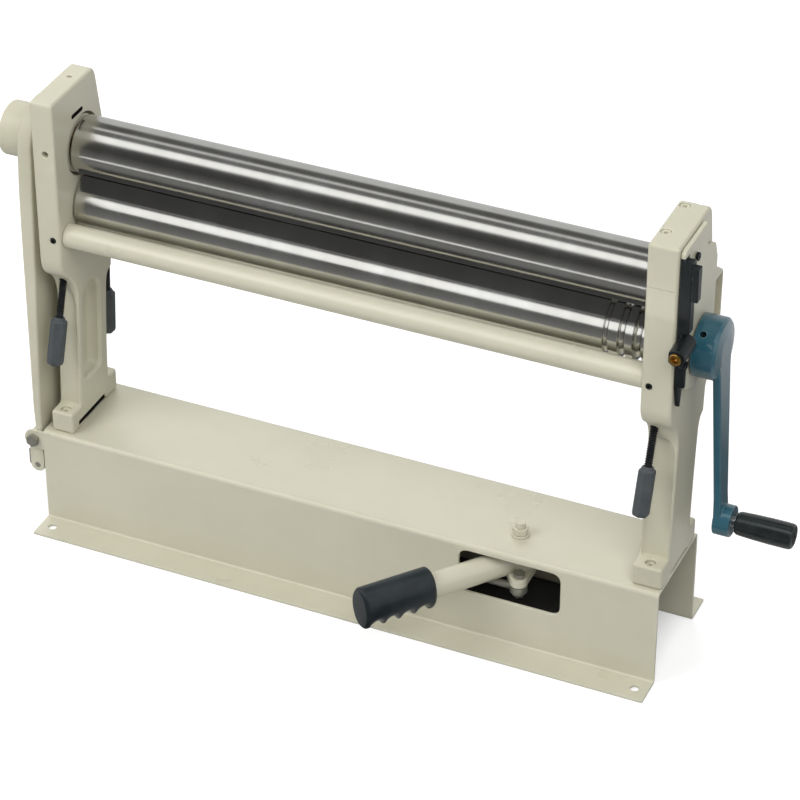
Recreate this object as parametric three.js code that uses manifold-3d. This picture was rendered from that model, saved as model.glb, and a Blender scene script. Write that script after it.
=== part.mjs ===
// A hand-cranked slip roll machine: three bending rolls between two cast frames on a folded base.
// Millimetres. X runs along the rolls, the operator stands on the -Y side, +Z is up.
import * as THREE from "three";
import { mergeVertices } from "three/addons/utils/BufferGeometryUtils.js";
import Module from "manifold-3d";

// Driving dimensions: rolls
const workingLength = 610;
const rollEndMargin = 2;
const rollDiameter = 60;
const rollEdge = 1;
const pinchGap = 3;
const rearRollGap = 2;
const upperRollHeight = 431;
const journalDiameter = 22;
const rearJournalDiameter = 18;
const crankShaftDiameter = 20;
const taperLargeDiameter = 40;
const taperSmallDiameter = 24;
const taperLength = 38;
const wireGrooveRadii = [2.5, 3.5, 4.5];
const wireGroovePitch = 16;
const wireGrooveInset = 14;

// Driving dimensions: base
const baseHeight = 111;
const baseFront = 63;
const baseRear = 50;
const baseSheet = 3;
const bendRadius = 2;
const flangeWidth = 33;
const baseLeftOverhang = 8;
const boltHoleDiameter = 9;
const boltHoleInset = 14;

// Driving dimensions: frames
const frameSideClearance = 2;
const leftFrameThickness = 25;
const rightFrameThickness = 31;
const headInset = 6;
const headRise = 71;
const headDrop = 109;
const headTopRear = 28;
const headBackWall = 15;
const neckDrop = 43;
const legFront = 29;
const legRear = 32;
const legTaper = 8;
const legKneeRise = 60;
const legWaistDrop = 30;
const footHeight = 24;
const footFrontInset = 7;
const footRearInset = 9;
const footToe = 19;
const footHeel = 17;
const footRelief = 2;
const capRise = 25;
const capNotch = 7;
const rearLugWall = 5;
const rearLugUnder = 15;
const legPocketDepth = 13;
const legPocketWidth = 34;

// Driving dimensions: bearings and adjusters
const frontBlockWidth = 32;
const frontBlockHeight = 40;
const frontTravelUp = 2;
const frontTravelDown = 3;
const rearBlockWidth = 26;
const rearBlockHeight = 30;
const rearTravelUp = 20;
const frontTilt = THREE.MathUtils.degToRad(18);
const rearTilt = THREE.MathUtils.degToRad(4);
const frontScrewOffset = 7.6;
const screwDiameter = 8;
const frontScrewReach = 108;
const rearScrewReach = 128;
const knobAcrossCorners = 18;
const knobLength = 51;
const knobGrip = 45;
const upperBlockWidth = 28.4;
const upperBlockWall = 7;

// Driving dimensions: gears, cover and crank
const gearTeeth = 20;
const gearMeshGap = 1;
const gearWidth = 12;
const gearPocketDepth = 15;
const gearTipClearance = 2.5;
const coverThickness = 5;
const coverInset = 3;
const coverNeckRise = 40;
const coverScrewInset = 33;
const coverScrewRise = 48;
const lubricatorDiameter = 18;
const lubricatorReach = 20;
const lubricatorRise = 28;
const fittingDiameter = 9;
const hubDiameter = 62;
const hubLength = 25;
const hubGap = 1.5;
const crankThrow = 195;
const crankLean = 10;
const crankArmThickness = 8;
const crankArmWidth = 34;
const crankArmEndWidth = 22;
const crankBossDiameter = 32;
const crankBossLength = 17;
const crankGripDiameter = 26;
const crankGripLength = 58;
const spindleDiameter = 10;
const crankScrewTurn = THREE.MathUtils.degToRad(38);
const crankScrewInset = 8;

// Driving dimensions: release lever and link
const pivotX = 180;
const pivotInset = 37;
const pivotBoltDiameter = 9;
const leverRestAngle = THREE.MathUtils.degToRad(-128.5);
const leverDrop = 29;
const leverHubDiameter = 33;
const leverHubHeight = 30;
const leverTubeWidth = 24;
const leverTubeDepth = 28;
const leverGripStart = 102;
const leverGripLength = 78;
const leverGripWidth = 36;
const leverGripDepth = 46;
const fingerCount = 4;
const fingerDepth = 9;
const slotLeft = 51;
const slotRight = 58;
const slotBelow = 30;
const slotAbove = 21;
const eyeAngle = THREE.MathUtils.degToRad(-70);
const eyeReach = 23.4;
const eyeRadius = 9;
const linkDiameter = 8;
const linkPinDiameter = 8;
const linkBladeThickness = 4;

// Driving dimensions: swing arm
const armBaseGap = 3;
const armTopThickness = 16;
const armFootThickness = 6;
const armHeadRadius = 42;
const armShoulderRise = 40;
const armBossDiameter = 56;
const armBossLength = 29;
const bushWall = 4;
const noseWall = 6;
const noseClearance = 3;
const hingeDrop = 13;
const hingePinDiameter = 8;
const hingeNutCorners = 14;
const hingeBarrelRadius = 8;
const prongGap = 12;
const prongThickness = 5;
const tailPinDiameter = 6;

// Driving dimensions: tie bar
const tieDiameter = 25;
const tieGap = 3.3;
const tieAngle = THREE.MathUtils.degToRad(28);
const tieSpigotDiameter = 16;
const tieSpigotLength = 14;
const tieScrewInset = 8;

// Clearances
const seat = 0.3;
const running = 0.2;
const bushClearance = 0.6;

// Places that follow from the driving dimensions
const rollHalf = workingLength / 2 + rollEndMargin;
const inside = rollHalf + frameSideClearance;
const leftOuter = -inside - leftFrameThickness;
const rightOuter = inside + rightFrameThickness;
const leftMiddle = -inside - leftFrameThickness / 2;
const rightMiddle = inside + rightFrameThickness / 2;
const baseLeft = leftOuter - baseLeftOverhang;
const baseRight = rightOuter;
const rollRadius = rollDiameter / 2;
const journalRadius = journalDiameter / 2;
const rearJournalRadius = rearJournalDiameter / 2;
const crankShaftRadius = crankShaftDiameter / 2;
const lowerRollHeight = upperRollHeight - rollDiameter - pinchGap;
const rearRollBack = rollDiameter + rearRollGap;
const rearLugBack = rearRollBack + rearBlockWidth / 2 + rearLugWall;
const headFront = baseFront - headInset;
const frameTop = upperRollHeight + headRise;
const headBottom = upperRollHeight - headDrop;
const underHead = headBottom - neckDrop;
const seamHeight = upperRollHeight + capRise;
const leverHeight = baseHeight - leverDrop;
const hingeHeight = baseHeight - hingeDrop;
const frameBase = baseHeight + seat;
const footTop = frameBase + footHeight;
const footFront = baseFront - footFrontInset;
const footRear = baseRear - footRearInset;
const webThickness = rightFrameThickness - gearPocketDepth;
const tieReach = rollRadius + tieDiameter / 2 + tieGap;
const tieForward = tieReach * Math.cos(tieAngle);
const tieHeight = lowerRollHeight - tieReach * Math.sin(tieAngle);
const bushRadius = taperLargeDiameter / 2 + bushWall;
const noseRadius = bushRadius + noseWall;
const headBack = noseRadius + headBackWall;

const paint = { color: 0xcfccbc, roughness: 0.45, metalness: 0.0 };
const groundSteel = { color: 0xb9bab8, roughness: 0.22, metalness: 1.0 };
const darkSteel = { color: 0x35383a, roughness: 0.5, metalness: 0.7 };
const zinc = { color: 0xa9abaa, roughness: 0.4, metalness: 0.9 };
const knobGrey = { color: 0x4a4e50, roughness: 0.6, metalness: 0.0 };
const blackPaint = { color: 0x23272a, roughness: 0.55, metalness: 0.0 };
const bronze = { color: 0xa9803f, roughness: 0.4, metalness: 1.0 };
const teal = { color: 0x1f5063, roughness: 0.35, metalness: 0.0 };
const gripBlack = { color: 0x22282b, roughness: 0.5, metalness: 0.0 };

const wasm = await Module();
wasm.setup();

// A closed geometry as a solid that can be joined and cut.
function toSolid(geometry) {
  const bare = geometry.clone();
  bare.deleteAttribute("normal");
  bare.deleteAttribute("uv");
  const merged = mergeVertices(bare, 1e-4);
  const vertProperties = new Float32Array(merged.attributes.position.array);
  const triVerts = new Uint32Array(merged.index.array);
  return new wasm.Manifold(new wasm.Mesh({ numProp: 3, vertProperties, triVerts }));
}

function toGeometry(solid) {
  const mesh = solid.getMesh();
  const geometry = new THREE.BufferGeometry();
  geometry.setAttribute("position", new THREE.BufferAttribute(mesh.vertProperties, 3));
  geometry.setIndex(new THREE.BufferAttribute(mesh.triVerts, 1));
  return geometry;
}

// One geometry with others joined to it.
function join(geometry, ...others) {
  const joined = others.reduce((solid, other) => solid.add(toSolid(other)), toSolid(geometry));
  return toGeometry(joined);
}

// One geometry with others cut away from it.
function cut(geometry, ...others) {
  const rest = others.reduce((solid, other) => solid.subtract(toSolid(other)), toSolid(geometry));
  return toGeometry(rest);
}

function common(geometry, other) {
  return toGeometry(toSolid(geometry).intersect(toSolid(other)));
}

// A box between two stations on each axis, given in either order.
function box(x0, x1, y0, y1, z0, z1) {
  const geometry = new THREE.BoxGeometry(Math.abs(x1 - x0), Math.abs(y1 - y0), Math.abs(z1 - z0));
  return geometry.translate((x0 + x1) / 2, (y0 + y1) / 2, (z0 + z1) / 2);
}

// Cylinders between two stations along one axis.
function cylinderX(radius, x0, x1, y = 0, z = 0, sides = 32) {
  const geometry = new THREE.CylinderGeometry(radius, radius, Math.abs(x1 - x0), sides);
  return geometry.rotateZ(-Math.PI / 2).translate((x0 + x1) / 2, y, z);
}

function cylinderY(radius, y0, y1, x = 0, z = 0, sides = 16) {
  const geometry = new THREE.CylinderGeometry(radius, radius, Math.abs(y1 - y0), sides);
  return geometry.translate(x, (y0 + y1) / 2, z);
}

function cylinderZ(radius, z0, z1, x = 0, y = 0, sides = 16) {
  const geometry = new THREE.CylinderGeometry(radius, radius, Math.abs(z1 - z0), sides);
  return geometry.rotateX(Math.PI / 2).translate(x, y, (z0 + z1) / 2);
}

function extrude(shape, depth, curveSegments = 5) {
  return new THREE.ExtrudeGeometry(shape, { depth, bevelEnabled: false, curveSegments });
}

const alongX = new THREE.Matrix4().makeBasis(
  new THREE.Vector3(0, 1, 0),
  new THREE.Vector3(0, 0, 1),
  new THREE.Vector3(1, 0, 0),
);

// An outline drawn in Y and Z, given thickness between two stations along X.
function plateX(shape, x0, x1) {
  return extrude(shape, Math.abs(x1 - x0)).applyMatrix4(alongX).translate(Math.min(x0, x1), 0, 0);
}

// An outline drawn in X and Z, given thickness from y0 to y1.
function plateY(shape, y0, y1) {
  return extrude(shape, y1 - y0).rotateX(Math.PI / 2).translate(0, y1, 0);
}

function outline(points) {
  return new THREE.Shape(points.map(([a, b]) => new THREE.Vector2(a, b)));
}

function rectangle(x0, x1, y0, y1) {
  return outline([[x0, y0], [x1, y0], [x1, y1], [x0, y1]]);
}

function roundedRectangle(x0, x1, y0, y1, r) {
  const shape = new THREE.Shape();
  shape.moveTo(x0 + r, y0);
  shape.lineTo(x1 - r, y0);
  shape.absarc(x1 - r, y0 + r, r, -Math.PI / 2, 0, false);
  shape.lineTo(x1, y1 - r);
  shape.absarc(x1 - r, y1 - r, r, 0, Math.PI / 2, false);
  shape.lineTo(x0 + r, y1);
  shape.absarc(x0 + r, y1 - r, r, Math.PI / 2, Math.PI, false);
  shape.lineTo(x0, y0 + r);
  shape.absarc(x0 + r, y0 + r, r, Math.PI, 1.5 * Math.PI, false);
  return shape;
}

// The outline round two circles and their common tangents, the second one at (a, b).
function strap(r0, r1, a, b) {
  const along = Math.atan2(b, a);
  const spread = Math.acos((r0 - r1) / Math.hypot(a, b));
  const steps = 7;
  const points = [];
  for (let i = 0; i <= steps; i++) {
    const t = along + spread + ((2 * Math.PI - 2 * spread) * i) / steps;
    points.push([r0 * Math.cos(t), r0 * Math.sin(t)]);
  }
  for (let i = 0; i <= steps; i++) {
    const t = along - spread + (2 * spread * i) / steps;
    points.push([a + r1 * Math.cos(t), b + r1 * Math.sin(t)]);
  }
  return outline(points);
}

// A solid of revolution about X, from [station, radius] pairs that start and end on the axis.
function turned(profile, sides = 28) {
  const points = profile.map(([x, r]) => new THREE.Vector2(r, x));
  return new THREE.LatheGeometry(points, sides).rotateZ(-Math.PI / 2);
}

// A bar of oval section along +X from x0 to x1.
function ovalBar(width, depth, x0, x1) {
  const shape = new THREE.Shape();
  shape.absellipse(0, 0, width / 2, depth / 2, 0, 2 * Math.PI, false, 0);
  return extrude(shape, x1 - x0, 9).applyMatrix4(alongX).translate(x0, 0, 0);
}

// A socket head screw that points down, with its head's top face at the origin.
function socketScrew(shankRadius, headRadius, headHeight, length) {
  const socketRadius = headRadius * 0.5;
  const socketDepth = headHeight * 0.55;
  const body = join(
    cylinderZ(headRadius, -headHeight, 0, 0, 0, 14),
    cylinderZ(shankRadius, -headHeight - length, -headHeight + 0.5, 0, 0, 10),
  );
  return cut(body, cylinderZ(socketRadius, -socketDepth, 1, 0, 0, 6));
}

// A headless screw along Z from 0 to its socket end.
function grubScrew(radius, length) {
  const socketDepth = 3;
  return cut(
    cylinderZ(radius, 0, length, 0, 0, 10),
    cylinderZ(radius * 0.55, length - socketDepth, length + 1, 0, 0, 6),
  );
}

// A hexagon nut along Z from 0 to its height.
function hexNut(acrossCorners, boreRadius, height) {
  return cut(
    cylinderZ(acrossCorners / 2, 0, height, 0, 0, 6),
    cylinderZ(boreRadius, -1, height + 1),
  );
}

const root = new THREE.Group();

function add(parent, name, geometry, finish) {
  const mesh = new THREE.Mesh(geometry, new THREE.MeshStandardMaterial(finish));
  mesh.name = name;
  parent.add(mesh);
  return mesh;
}

// The base: a folded channel, open at both ends, with a bolting flange along each side.
function baseSection() {
  const inner = bendRadius;
  const outer = bendRadius + baseSheet;
  const front = -baseFront;
  const rear = baseRear;
  const shape = new THREE.Shape();
  shape.moveTo(front - flangeWidth, 0);
  shape.lineTo(front - inner, 0);
  shape.absarc(front - inner, outer, outer, -Math.PI / 2, 0, false);
  shape.lineTo(front + baseSheet, baseHeight - outer);
  shape.absarc(front + outer, baseHeight - outer, inner, Math.PI, Math.PI / 2, true);
  shape.lineTo(rear - outer, baseHeight - baseSheet);
  shape.absarc(rear - outer, baseHeight - outer, inner, Math.PI / 2, 0, true);
  shape.lineTo(rear - baseSheet, outer);
  shape.absarc(rear + inner, outer, outer, Math.PI, 1.5 * Math.PI, false);
  shape.lineTo(rear + flangeWidth, 0);
  shape.lineTo(rear + flangeWidth, baseSheet);
  shape.lineTo(rear + inner, baseSheet);
  shape.absarc(rear + inner, outer, inner, -Math.PI / 2, Math.PI, true);
  shape.lineTo(rear, baseHeight - outer);
  shape.absarc(rear - outer, baseHeight - outer, outer, 0, Math.PI / 2, false);
  shape.lineTo(front + outer, baseHeight);
  shape.absarc(front + outer, baseHeight - outer, outer, Math.PI / 2, Math.PI, false);
  shape.lineTo(front, outer);
  shape.absarc(front - inner, outer, inner, 0, -Math.PI / 2, true);
  shape.lineTo(front - flangeWidth, baseSheet);
  return shape;
}

const armInner = baseLeft - armBaseGap;
const hingeX = armInner - hingeBarrelRadius;
const pivotY = -baseFront + pivotInset;
const footScrewRadius = 3;
const footScrewRows = [-footFront + footToe / 2, footRear - footHeel / 2];
const slotCornerRadius = 11;
const earMargin = 3;
const earLap = 20;

function makeBase() {
  const earRadius = hingeBarrelRadius + earMargin;
  const ear = strap(earRadius, earRadius, baseLeft - hingeX + earLap, 0);
  const ears = [[-baseFront, -baseFront + baseSheet], [baseRear - baseSheet, baseRear]].map(([y0, y1]) =>
    plateY(ear, y0, y1).translate(hingeX, 0, hingeHeight),
  );
  const pinRadius = hingePinDiameter / 2 + running;
  const slotOutline = roundedRectangle(
    pivotX - slotLeft, pivotX + slotRight, leverHeight - slotBelow, leverHeight + slotAbove, slotCornerRadius,
  );
  const throughTop = [baseHeight - baseSheet - 1, baseHeight + 1];
  const holes = [
    cylinderY(pinRadius, -baseFront - 1, baseRear + 1, hingeX, hingeHeight),
    cylinderZ(pivotBoltDiameter / 2 + seat, ...throughTop, pivotX, pivotY),
  ];
  for (const x of [baseLeft + boltHoleInset, baseRight - boltHoleInset]) {
    for (const y of [-baseFront - flangeWidth / 2, baseRear + flangeWidth / 2]) {
      holes.push(cylinderZ(boltHoleDiameter / 2, -1, baseSheet + 1, x, y));
    }
  }
  for (const x of [leftMiddle, rightMiddle]) {
    for (const y of footScrewRows) {
      holes.push(cylinderZ(footScrewRadius + seat, ...throughTop, x, y, 10));
    }
  }
  return cut(
    join(plateX(baseSection(), baseLeft, baseRight), ...ears),
    plateY(slotOutline, -baseFront - 1, -baseFront + baseSheet + 1),
    ...holes,
  );
}
add(root, "base_channel", makeBase(), paint);

// The side of a frame: foot, leg, and a head with a lug behind for the rear roll.
const rearLugTop = lowerRollHeight + rearBlockHeight / 2 + rearTravelUp + 1;
const rearLugLow = lowerRollHeight - rearBlockHeight / 2 - rearLugUnder;

function frameOutline() {
  const reliefFront = -footFront + footToe + 7;
  const reliefRear = footRear - footHeel - 6;
  const shoulder = underHead - 17;
  const edge = 4;
  const shape = new THREE.Shape();
  shape.moveTo(-footFront, frameBase);
  shape.lineTo(reliefFront - footRelief, frameBase);
  shape.lineTo(reliefFront, frameBase + footRelief);
  shape.lineTo(reliefRear - footRelief, frameBase + footRelief);
  shape.lineTo(reliefRear, frameBase);
  shape.lineTo(footRear, frameBase);
  shape.lineTo(footRear, footTop);
  shape.lineTo(footRear - footHeel, footTop);
  shape.quadraticCurveTo(footRear - footHeel + 2, footTop + legKneeRise, legRear, underHead - legWaistDrop);
  shape.quadraticCurveTo(legRear + 2, shoulder, legRear + 12, shoulder);
  shape.lineTo(legRear + 14, underHead + 11);
  shape.quadraticCurveTo(legRear + 30, underHead + 34, rearLugBack, rearLugLow);
  shape.lineTo(rearLugBack, rearLugTop);
  shape.quadraticCurveTo(rearLugBack - 20, rearLugTop + 14, headBack, upperRollHeight - 1);
  shape.lineTo(headTopRear + 7, frameTop - 14);
  shape.quadraticCurveTo(headTopRear + 5, frameTop, headTopRear - 3, frameTop);
  shape.lineTo(-headFront + edge, frameTop);
  shape.quadraticCurveTo(-headFront, frameTop, -headFront, frameTop - edge);
  shape.lineTo(-headFront, headBottom);
  shape.quadraticCurveTo(-headFront, headBottom - 16, -headFront + 11, headBottom - 24);
  shape.quadraticCurveTo(-legFront, underHead + 6, -legFront, underHead - 16);
  shape.lineTo(-legFront - legTaper, footTop);
  shape.lineTo(-footFront, footTop);
  return shape;
}

function legPocketOutline() {
  const arch = legPocketWidth / 2;
  const middle = (legRear - legFront) / 2 - 3.5;
  const lean = 6;
  const archHeight = underHead - 28;
  const shape = new THREE.Shape();
  shape.moveTo(middle - arch - lean, footTop + 25);
  shape.lineTo(middle + arch - lean, footTop + 25);
  shape.lineTo(middle + arch, archHeight);
  shape.absarc(middle, archHeight, arch, 0, Math.PI, false);
  return shape;
}

// Where each bearing block starts and ends along X.
const blockInset = 1;
const frontBlockEnds = {
  left: [leftOuter + blockInset, -inside - blockInset],
  right: [inside + blockInset, inside + webThickness - blockInset],
};
const rearBlockEnds = {
  left: [leftOuter + blockInset, -inside - blockInset],
  right: [inside + blockInset, inside + leftFrameThickness - blockInset],
};

function middleOf([a, b]) {
  return (a + b) / 2;
}

function tilted(geometry, tilt, y) {
  return geometry.rotateX(-tilt).translate(0, y, lowerRollHeight);
}

// The window that a bearing block slides in, and the screw's hole below it.
function bearingCuts(x0, x1, screwX, screwY, width, height, down, up, tilt, y) {
  const screwHoleLength = 130;
  const window = rectangle(-width / 2 - seat, width / 2 + seat, -height / 2 - down, height / 2 + up + 1);
  return [
    tilted(plateX(window, x0 - 1, x1 + 1), tilt, y),
    tilted(cylinderZ(screwDiameter / 2 + seat, -screwHoleLength, 0, screwX, screwY, 12), tilt, y),
  ];
}

const grubRadius = 3;
const counterbore = { foot: { radius: 5.4, depth: 9 }, cap: { radius: 5.3, depth: 7 } };

// Cuts that both frames share, for a frame on the given side.
function frameCuts(side) {
  const inward = side === "left" ? 1 : -1;
  const innerFace = -inward * inside;
  const outerFace = side === "left" ? leftOuter : rightOuter;
  const middle = side === "left" ? leftMiddle : rightMiddle;
  const cuts = [
    ...bearingCuts(
      Math.min(innerFace, outerFace), Math.max(innerFace, outerFace),
      middleOf(frontBlockEnds[side]), -frontScrewOffset,
      frontBlockWidth, frontBlockHeight, frontTravelDown + 1, frontTravelUp, frontTilt, 0,
    ),
    ...bearingCuts(
      Math.min(innerFace, outerFace), Math.max(innerFace, outerFace),
      middleOf(rearBlockEnds[side]), 0,
      rearBlockWidth, rearBlockHeight, seat, rearTravelUp, rearTilt, rearRollBack,
    ),
    cylinderX(
      tieSpigotDiameter / 2 + running,
      innerFace - inward * (tieSpigotLength + seat), innerFace + inward, -tieForward, tieHeight, 20,
    ),
    cylinderY(
      grubRadius + seat, -headFront - 1, -tieForward, innerFace - inward * tieScrewInset, tieHeight, 10,
    ),
    plateX(legPocketOutline(), innerFace - inward * legPocketDepth, innerFace + inward),
  ];
  for (const y of footScrewRows) {
    cuts.push(cylinderZ(footScrewRadius + seat, frameBase - 1, footTop, middle, y, 10));
    cuts.push(cylinderZ(counterbore.foot.radius, footTop - counterbore.foot.depth, footTop + 1, middle, y));
  }
  return cuts;
}

const frames = new THREE.Group();
root.add(frames);

function makeLeftFrame() {
  const boreRadius = noseRadius + noseClearance;
  const slitLow = upperRollHeight + boreRadius + 3;
  const slitHeight = 5;
  return cut(
    plateX(frameOutline(), leftOuter, -inside),
    cylinderX(boreRadius, leftOuter - 1, -inside + 1, 0, upperRollHeight),
    box(leftOuter - 1, -inside + 1, -19, 4, slitLow, slitLow + slitHeight),
    cylinderY(3.5, -headFront - 1, -headFront + 12, leftMiddle + 2, upperRollHeight + 14, 12),
    cylinderZ(2.5, frameTop - 10, frameTop + 1, leftMiddle, 4, 12),
    ...frameCuts("left"),
  );
}
add(frames, "left_frame", makeLeftFrame(), paint);

// The right frame also houses the roll gears, and its top is a separate bearing cap.
const gearModule = (rollDiameter + gearMeshGap) / gearTeeth;
const gearPitchRadius = (gearModule * gearTeeth) / 2;
const gearTipRadius = gearPitchRadius + gearModule;
const gearRoom = gearTipRadius + gearTipClearance;
const capScrewRadius = 3;
const capScrewRows = [-headFront + 27, headTopRear - 7.5];
const capScrewX = inside + webThickness / 2;
const upperBlockHalf = upperBlockWidth / 2;
const upperBlockLow = upperRollHeight - journalRadius - upperBlockWall;

function gearPocket() {
  const x0 = rightOuter - gearPocketDepth;
  const x1 = rightOuter + 1;
  const low = lowerRollHeight - frontTravelDown;
  return join(
    cylinderX(gearRoom, x0, x1, 0, upperRollHeight),
    cylinderX(gearRoom, x0, x1, 0, low),
    box(x0, x1, -gearRoom, gearRoom, low, upperRollHeight),
  );
}

// The cover's two screws go into the cap above and into the frame in front of the gears.
const coverScrewRadius = 2.5;
const coverScrewDepth = 8;
const coverScrews = {
  upper: [-headFront + coverScrewInset, upperRollHeight + coverScrewRise],
  lower: [(-headFront - gearRoom) / 2 + 3.5, lowerRollHeight + 2],
};
const coverScrewHoles = Object.values(coverScrews).map(([y, z]) =>
  cylinderX(coverScrewRadius + seat, rightOuter - coverScrewDepth - 1, rightOuter + 1, y, z, 10),
);

function makeRightFrame() {
  const slotHalf = upperBlockHalf + seat;
  const screwHoles = capScrewRows.map((y) =>
    cylinderZ(capScrewRadius + seat, seamHeight - 17, seamHeight, capScrewX, y, 10),
  );
  return cut(
    plateX(frameOutline(), inside, rightOuter),
    box(inside - 1, rightOuter + 1, -headFront - 1, rearLugBack, seamHeight - seat / 2, frameTop + 1),
    gearPocket(),
    box(inside - 1, rightOuter, -slotHalf, slotHalf, upperBlockLow - seat, seamHeight),
    ...screwHoles,
    ...coverScrewHoles,
    ...frameCuts("right"),
  );
}
add(frames, "right_frame", makeRightFrame(), paint);

function makeBearingCap() {
  const notch = new THREE.CylinderGeometry(capNotch, capNotch, headRise, 3).rotateX(Math.PI / 2);
  notch.translate(rightOuter - 11, headTopRear + 5.5, frameTop - headRise / 2 + 1);
  const floor = frameTop - counterbore.cap.depth;
  const holes = capScrewRows.flatMap((y) => [
    cylinderZ(capScrewRadius + seat, seamHeight - 1, floor + 1, capScrewX, y, 10),
    cylinderZ(counterbore.cap.radius, floor, frameTop + 1, capScrewX, y),
  ]);
  return cut(
    plateX(frameOutline(), inside, rightOuter),
    box(inside - 1, rightOuter + 1, -headFront - 1, rearLugBack + 1, 0, seamHeight + seat / 2),
    gearPocket(),
    notch,
    ...holes,
    ...coverScrewHoles,
  );
}
add(frames, "right_bearing_cap", makeBearingCap(), paint);

const capScrewHead = 5.5;
capScrewRows.forEach((y, i) => {
  const underside = frameTop - counterbore.cap.depth + seat;
  const geometry = socketScrew(capScrewRadius, 5, capScrewHead, underside - seamHeight + 15);
  const screw = add(frames, ["cap_screw_front", "cap_screw_rear"][i], geometry, darkSteel);
  screw.position.set(capScrewX, y, underside + capScrewHead);
});

// Foot screws through the base's top, with nuts below it.
const footNutHeight = 5.5;
const footScrewHead = 6;
for (const [side, x] of [["left", leftMiddle], ["right", rightMiddle]]) {
  footScrewRows.forEach((y, i) => {
    const place = side + ["_front", "_rear"][i];
    const underside = footTop - counterbore.foot.depth + seat;
    const end = baseHeight - baseSheet - footNutHeight - 5;
    const geometry = socketScrew(footScrewRadius, 5, footScrewHead, underside - end);
    const screw = add(frames, "foot_screw_" + place, geometry, darkSteel);
    screw.position.set(x, y, underside + footScrewHead);
    const nut = add(frames, "foot_nut_" + place, hexNut(11.6, footScrewRadius + running, footNutHeight), zinc);
    nut.position.set(x, y, baseHeight - baseSheet - seat - footNutHeight);
  });
}

// The tie bar between the frames, with its spigots held by set screws from the front.
const tieHalf = inside - seat;
const tieEnd = inside + tieSpigotLength;
const tieBar = turned([
  [-tieEnd, 0],
  [-tieEnd, tieSpigotDiameter / 2],
  [-tieHalf, tieSpigotDiameter / 2],
  [-tieHalf, tieDiameter / 2],
  [tieHalf, tieDiameter / 2],
  [tieHalf, tieSpigotDiameter / 2],
  [tieEnd, tieSpigotDiameter / 2],
  [tieEnd, 0],
], 20);
add(frames, "tie_bar", tieBar, paint).position.set(0, -tieForward, tieHeight);

for (const [side, direction] of [["left", -1], ["right", 1]]) {
  const screw = add(frames, "tie_set_screw_" + side, grubScrew(grubRadius, 9), darkSteel);
  screw.rotation.x = Math.PI / 2;
  screw.position.set(
    direction * (inside + tieScrewInset), -tieForward - tieSpigotDiameter / 2 - seat, tieHeight,
  );
}

// A roll's profile from its left face to its right face, with wire grooves near the right end.
function rollFace(grooved) {
  const profile = [[-rollHalf, rollRadius - rollEdge], [-rollHalf + rollEdge, rollRadius]];
  if (grooved) {
    wireGrooveRadii.forEach((radius, i) => {
      const middle = rollHalf - wireGrooveInset - (wireGrooveRadii.length - 1 - i) * wireGroovePitch;
      for (const angle of [-90, -35, 35, 90].map(THREE.MathUtils.degToRad)) {
        profile.push([middle + radius * Math.sin(angle), rollRadius - radius * Math.cos(angle)]);
      }
    });
  }
  profile.push([rollHalf - rollEdge, rollRadius], [rollHalf, rollRadius - rollEdge]);
  return profile;
}

const leftJournalEnd = leftOuter + 2;
const rightStubEnd = rightOuter - 3;

// Upper roll, with a tapered left journal that the swing arm slides on and off.
const upperRoll = new THREE.Group();
upperRoll.position.z = upperRollHeight;
root.add(upperRoll);
add(upperRoll, "upper_roll", turned([
  [-rollHalf - taperLength, 0],
  [-rollHalf - taperLength, taperSmallDiameter / 2],
  [-rollHalf, taperLargeDiameter / 2],
  ...rollFace(false),
  [rollHalf, journalRadius],
  [rightStubEnd, journalRadius],
  [rightStubEnd, 0],
]), groundSteel);

// Lower roll, whose right journal carries a gear and the crank.
const coverOuter = rightOuter + seat + coverThickness;
const hubLeft = coverOuter + hubGap;
const crankShaftEnd = hubLeft + hubLength - 4;
const lowerRoll = new THREE.Group();
lowerRoll.position.z = lowerRollHeight;
root.add(lowerRoll);
add(lowerRoll, "lower_roll", turned([
  [leftJournalEnd, 0],
  [leftJournalEnd, journalRadius],
  [-rollHalf, journalRadius],
  ...rollFace(true),
  [rollHalf, journalRadius],
  [rightOuter, journalRadius],
  [rightOuter, crankShaftRadius],
  [crankShaftEnd, crankShaftRadius],
  [crankShaftEnd, 0],
]), groundSteel);

// Rear roll, which turns freely on its two journals.
const rearJournalEnd = inside + leftFrameThickness - 2;
const rearRoll = new THREE.Group();
rearRoll.position.set(0, rearRollBack, lowerRollHeight);
root.add(rearRoll);
add(rearRoll, "rear_roll", turned([
  [leftJournalEnd, 0],
  [leftJournalEnd, rearJournalRadius],
  [-rollHalf, rearJournalRadius],
  ...rollFace(true),
  [rollHalf, rearJournalRadius],
  [rearJournalEnd, rearJournalRadius],
  [rearJournalEnd, 0],
]), groundSteel);

// A spur gear about X, with its first tooth or its first gap on +Z.
const gearLeft = rightOuter - gearPocketDepth + 1.5;
function gearGeometry(startsWithGap) {
  const step = (2 * Math.PI) / gearTeeth;
  const rootRadius = gearPitchRadius - 1.25 * gearModule;
  const rootShare = 0.33;
  const tipShare = 0.08;
  const points = [];
  for (let i = 0; i < gearTeeth; i++) {
    const middle = Math.PI / 2 + (i + (startsWithGap ? 0.5 : 0)) * step;
    points.push([rootRadius, middle - rootShare * step], [gearTipRadius, middle - tipShare * step]);
    points.push([gearTipRadius, middle + tipShare * step], [rootRadius, middle + rootShare * step]);
  }
  const shape = outline(points.map(([r, t]) => [r * Math.cos(t), r * Math.sin(t)]));
  const bore = cylinderX(journalRadius + running, gearLeft - 1, gearLeft + gearWidth + 1, 0, 0, 24);
  return cut(plateX(shape, gearLeft, gearLeft + gearWidth), bore);
}
add(upperRoll, "upper_gear", gearGeometry(false), darkSteel);
add(lowerRoll, "lower_gear", gearGeometry(true), darkSteel);

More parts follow.
